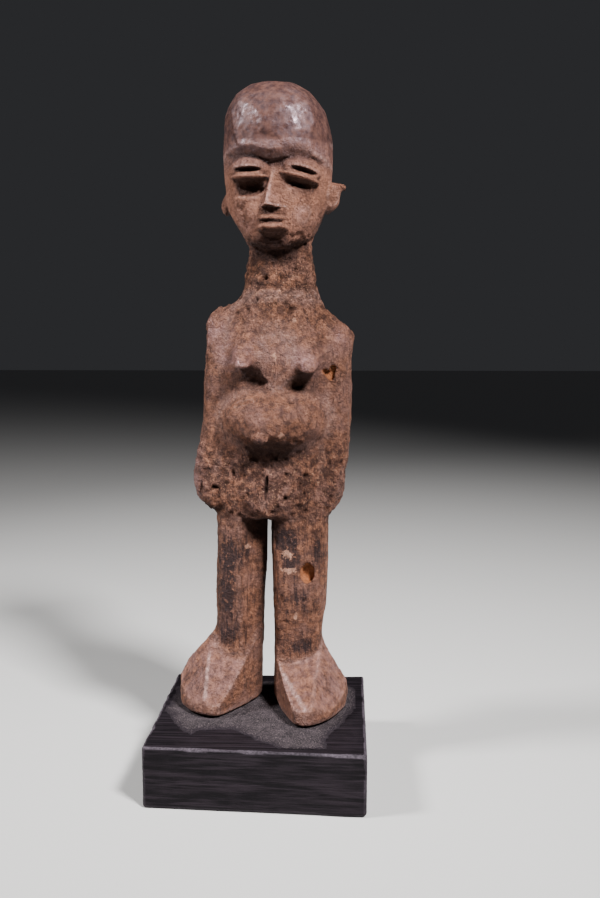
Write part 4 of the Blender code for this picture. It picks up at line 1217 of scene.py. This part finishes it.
def encrusted_wood():
    """Old wood under a grey-brown crust, rubbed pinkish and shiny on the high spots, with painted shade in
    hollows and under ledges, painted light on the face and pale edges of wear and painted highlight.
    """
    material, tree, shader = new_material("encrusted_wood")
    where = stretched(tree, IN_MM)
    fibre = noise_share(stretched(tree, (1000, 1000, 150)), 0.9, 4, 0.7)
    broad = noise_share(where, 0.09, 3)
    patchy = noise_share(where, 0.45, 4, 0.65)
    fine = noise_share(where, 1.3, 6, 0.75)
    crumb = noise_share(where, 0.65, 5, 0.7)
    flake = noise_share(where, 0.28, 4, 0.6)
    dents = noise_share(where, 0.35, 1, 0.5)
    strands = noise_share(stretched(tree, (1000, 1000, 110)), 0.4, 3, 0.55)
    crust = share_of(tree, "crust")
    crown = share_of(tree, "crown")

    # Where each colour lies
    off_middle = worked("ABSOLUTE", strands - 0.5, 0)
    crack = between(off_middle, 0.003, 0.018, 1, 0) * between(flake, 0.44, 0.56)
    cracked = crack * between(crust, 0.1, 0.5, 0, 0.85)
    rubbed = share_of(tree, "polish") * between(flake, 0.38, 0.58, 0.4, 1)
    polished = mixed(between(patchy, 0.4, 0.62), CROWN_BROWN, CROWN_TAN)
    edge = share_of(tree, "wear_and_highlight") * between(crumb, 0.35, 0.6, 0.1, 0.8)
    ragged = share_of(tree, "soot") + between(fibre, 0.3, 0.7, -0.4, 0.4)
    soot = between(ragged, 0.2, 0.9, 0, 0.92) * between(crumb, 0.56, 0.64, 1, 0.2)
    chip = share_of(tree, "chip") + between(crumb, 0.3, 0.7, -0.4, 0.4)
    # Painted shade: hollows are laid darker
    hollow = between(share_of(tree, "shade"), 0.36, 0.8, 0, 0.88)
    fresh = mixed(between(fine, 0.4, 0.65), FRESH, FRESH_PALE)

    # The colours in the order they are laid on
    base = mixed(between(patchy, 0.38, 0.62), UMBER, EARTH)
    for share, colour in (
        (between(broad, 0.45, 0.62, 0, 0.6), ASHEN),
        (between(fibre, 0.5, 0.72, 0, 0.5), SOIL),
        (between(crumb, 0.5, 0.42) * crust * 0.65, SOIL),
        (between(flake, 0.5, 0.42, 0, 0.6) * crust, SOIL),
        (between(fine, 0.57, 0.66) * crust * 0.7, DUST),
        # Painted light: the face's front laid lighter and warmer
        (share_of(tree, "painted_face_light") * between(flake, 0.4, 0.6, 0.35, 0.9), TAWNY_FACE_LIGHT),
        (cracked, CRACK_AND_SHADE_DARK),
        (rubbed, ROSE_GREY),
        (crown * 0.94, polished),
        # Edges laid pale: wear, and painted highlight along them
        (edge, RUBBED_AND_HIGHLIGHT),
        (soot, SOOT),
        (between(chip, 0.42, 0.6, 0, 0.85), CHIPPED),
        (between(share_of(tree, "lump"), 0.42, 0.15, 0, 0.7) * crust, SOIL),
        # Painted shade: hollows and places under ledges laid darker
        (worked("MAXIMUM", hollow, share_of(tree, "painted_shade_from_above") * 0.8), CRACK_AND_SHADE_DARK),
        (share_of(tree, "fresh"), fresh),
    ):
        base = mixed(share, base, colour)

    # Gloss on what is rubbed, and fine relief on what isn't
    shiny = worked("MAXIMUM", rubbed, edge)
    rough = between(shiny + between(fine, 0.4, 0.7, -0.15, 0.15), 0, 1, 0.7, 0.21)
    height = fine * 0.6 + crumb * 0.8 + fibre * 0.5 + between(crumb, 0.45, 0.53, 0, 0.14) - cracked * 0.3
    calm = between(worked("MAXIMUM", rubbed, crown), 0, 0.9, 1, 0.025)
    height = height * (calm * between(crust, 0.05, 0.4, 0.5, 1)) + dents * 0.15
    wire_up(shader, colour=base, rough=rough, normal=relief(height, WOOD_RELIEF))
    wire_up(shader, gloss=between(shiny, 0, 1, 0.2, 0.52))
    shader.inputs["Specular Tint"].default_value = SHEEN
    return material


def black_paint():
    """Thin matte black over coarse grain, greyed and worn at the edges, and a painted highlight along the
    edges, most on the top's.
    """
    material, tree, shader = new_material("black_paint")
    where = stretched(tree, IN_MM)
    lines = noise_share(stretched(tree, (25, 900, 900)), 1, 4, 0.65)
    wide_lines = noise_share(stretched(tree, (12, 300, 300)), 1, 2, 0.6)
    patchy = noise_share(where, 0.12, 3)
    fine = noise_share(where, 1.5, 3, 0.7)
    base = mixed(between(lines, 0.44, 0.62), PAINT, PAINT_GREY)
    base = mixed(between(wide_lines, 0.5, 0.7, 0, 0.6), base, PAINT)
    base = mixed(between(patchy, 0.5, 0.75, 0, 0.45), base, PAINT_GREY)
    edge = share_of(tree, "wear_and_highlight") * between(fine, 0.35, 0.6, 0.25, 1)
    # Worn edges, also a painted highlight
    base = mixed(edge * between(patchy, 0.35, 0.6, 0.35, 1), base, PAINT_WORN_AND_HIGHLIGHT)
    rough = between(fine, 0.3, 0.7, 0.5, 0.75)
    wire_up(shader, colour=base, rough=rough, normal=relief(lines + fine * 0.3, PAINT_RELIEF, 0.8))
    shader.inputs["Specular IOR Level"].default_value = 0.12
    return material


def gritty_filler():
    """Grey compound with pale and dark grit in it."""
    material, tree, shader = new_material("gritty_filler")
    where = stretched(tree, IN_MM)
    patchy = noise_share(where, 0.25, 3)
    grit = noise_share(where, 2.4, 2, 0.7)
    speck = add_node(tree, "ShaderNodeTexVoronoi", "Distance", {"Vector": where, "Scale": 0.9})
    thin = share_of(tree, "thick") + between(grit, 0.4, 0.6, -0.3, 0.3)
    base = mixed(between(patchy, 0.4, 0.65), FILLER_DARK, FILLER_GREY)
    base = mixed(between(grit, 0.52, 0.66, 0, 0.9), base, FILLER_GRIT)
    base = mixed(between(speck, 0.2, 0.08, 0, 0.7), base, FILLER_GRIT)
    base = mixed(between(thin, 0.8, 0.2), base, PAINT_GREY)
    rough = between(grit, 0.3, 0.7, 0.8, 0.95)
    wire_up(shader, colour=base, rough=rough, normal=relief(grit, FILLER_RELIEF))
    shader.inputs["Specular IOR Level"].default_value = 0.15
    return material


def pin_steel():
    """Drawn steel rod, with fine lines along it."""
    material, tree, shader = new_material("pin_steel")
    lines = noise_share(stretched(tree, (6000, 6000, 200)), 1, 3)
    base = mixed(lines, STEEL_DARK, STEEL)
    rough = between(lines, 0.3, 0.7, 0.28, 0.45)
    wire_up(shader, colour=base, rough=rough, normal=relief(lines, STEEL_RELIEF))
    shader.inputs["Metallic"].default_value = 1.0
    return material


# Stage, lights and camera


def make_stage():
    bpy.ops.mesh.primitive_plane_add(size=FLOOR_SIZE, location=(0, 0, PLINTH_LOW.z))
    floor = bpy.context.object
    floor.name = "floor"
    material, tree, shader = new_material("floor")
    shader.inputs["Base Color"].default_value = FLOOR_COLOUR
    shader.inputs["Roughness"].default_value = FLOOR_ROUGHNESS
    floor.data.materials.append(material)
    world = bpy.data.worlds.new("studio")
    world.use_nodes = True
    background = world.node_tree.nodes["Background"]
    background.inputs["Color"].default_value = WORLD_COLOUR
    background.inputs["Strength"].default_value = WORLD_STRENGTH
    bpy.context.scene.world = world


def add_softbox(name, place, aim, watts):
    light = bpy.data.lights.new(name, "AREA")
    light.size = SOFTBOX_SIZE
    light.spread = SOFTBOX_SPREAD
    light.energy = watts
    lamp = add_object(name, light)
    lamp.location = place
    lamp.rotation_euler = (Vector(aim) - Vector(place)).to_track_quat("-Z", "Y").to_euler()


def add_camera():
    data = bpy.data.cameras.new("camera")
    data.lens = CAMERA_LENS
    camera = add_object("camera", data)
    camera.location = CAMERA_PLACE
    camera.rotation_euler = (math.pi / 2 - CAMERA_PITCH, 0, CAMERA_TURN)
    bpy.context.scene.camera = camera


def main():
    make_stage()
    add_softbox("right", **RIGHT_SOFTBOX)
    add_softbox("left", **LEFT_SOFTBOX)
    add_camera()
    figure = make_figure()
    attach(figure, "figure")
    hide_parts("carved_figure")
    plinth = make_plinth()
    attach(plinth, "mount")
    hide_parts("plinth")
    filler = make_filler()
    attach(filler, "mount")
    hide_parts("bedding_filler")
    steel = pin_steel()
    for name in ("left_foot_pin", "right_foot_pin"):
        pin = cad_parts[name]
        pin.data.materials.clear()
        pin.data.materials.append(steel)


main()
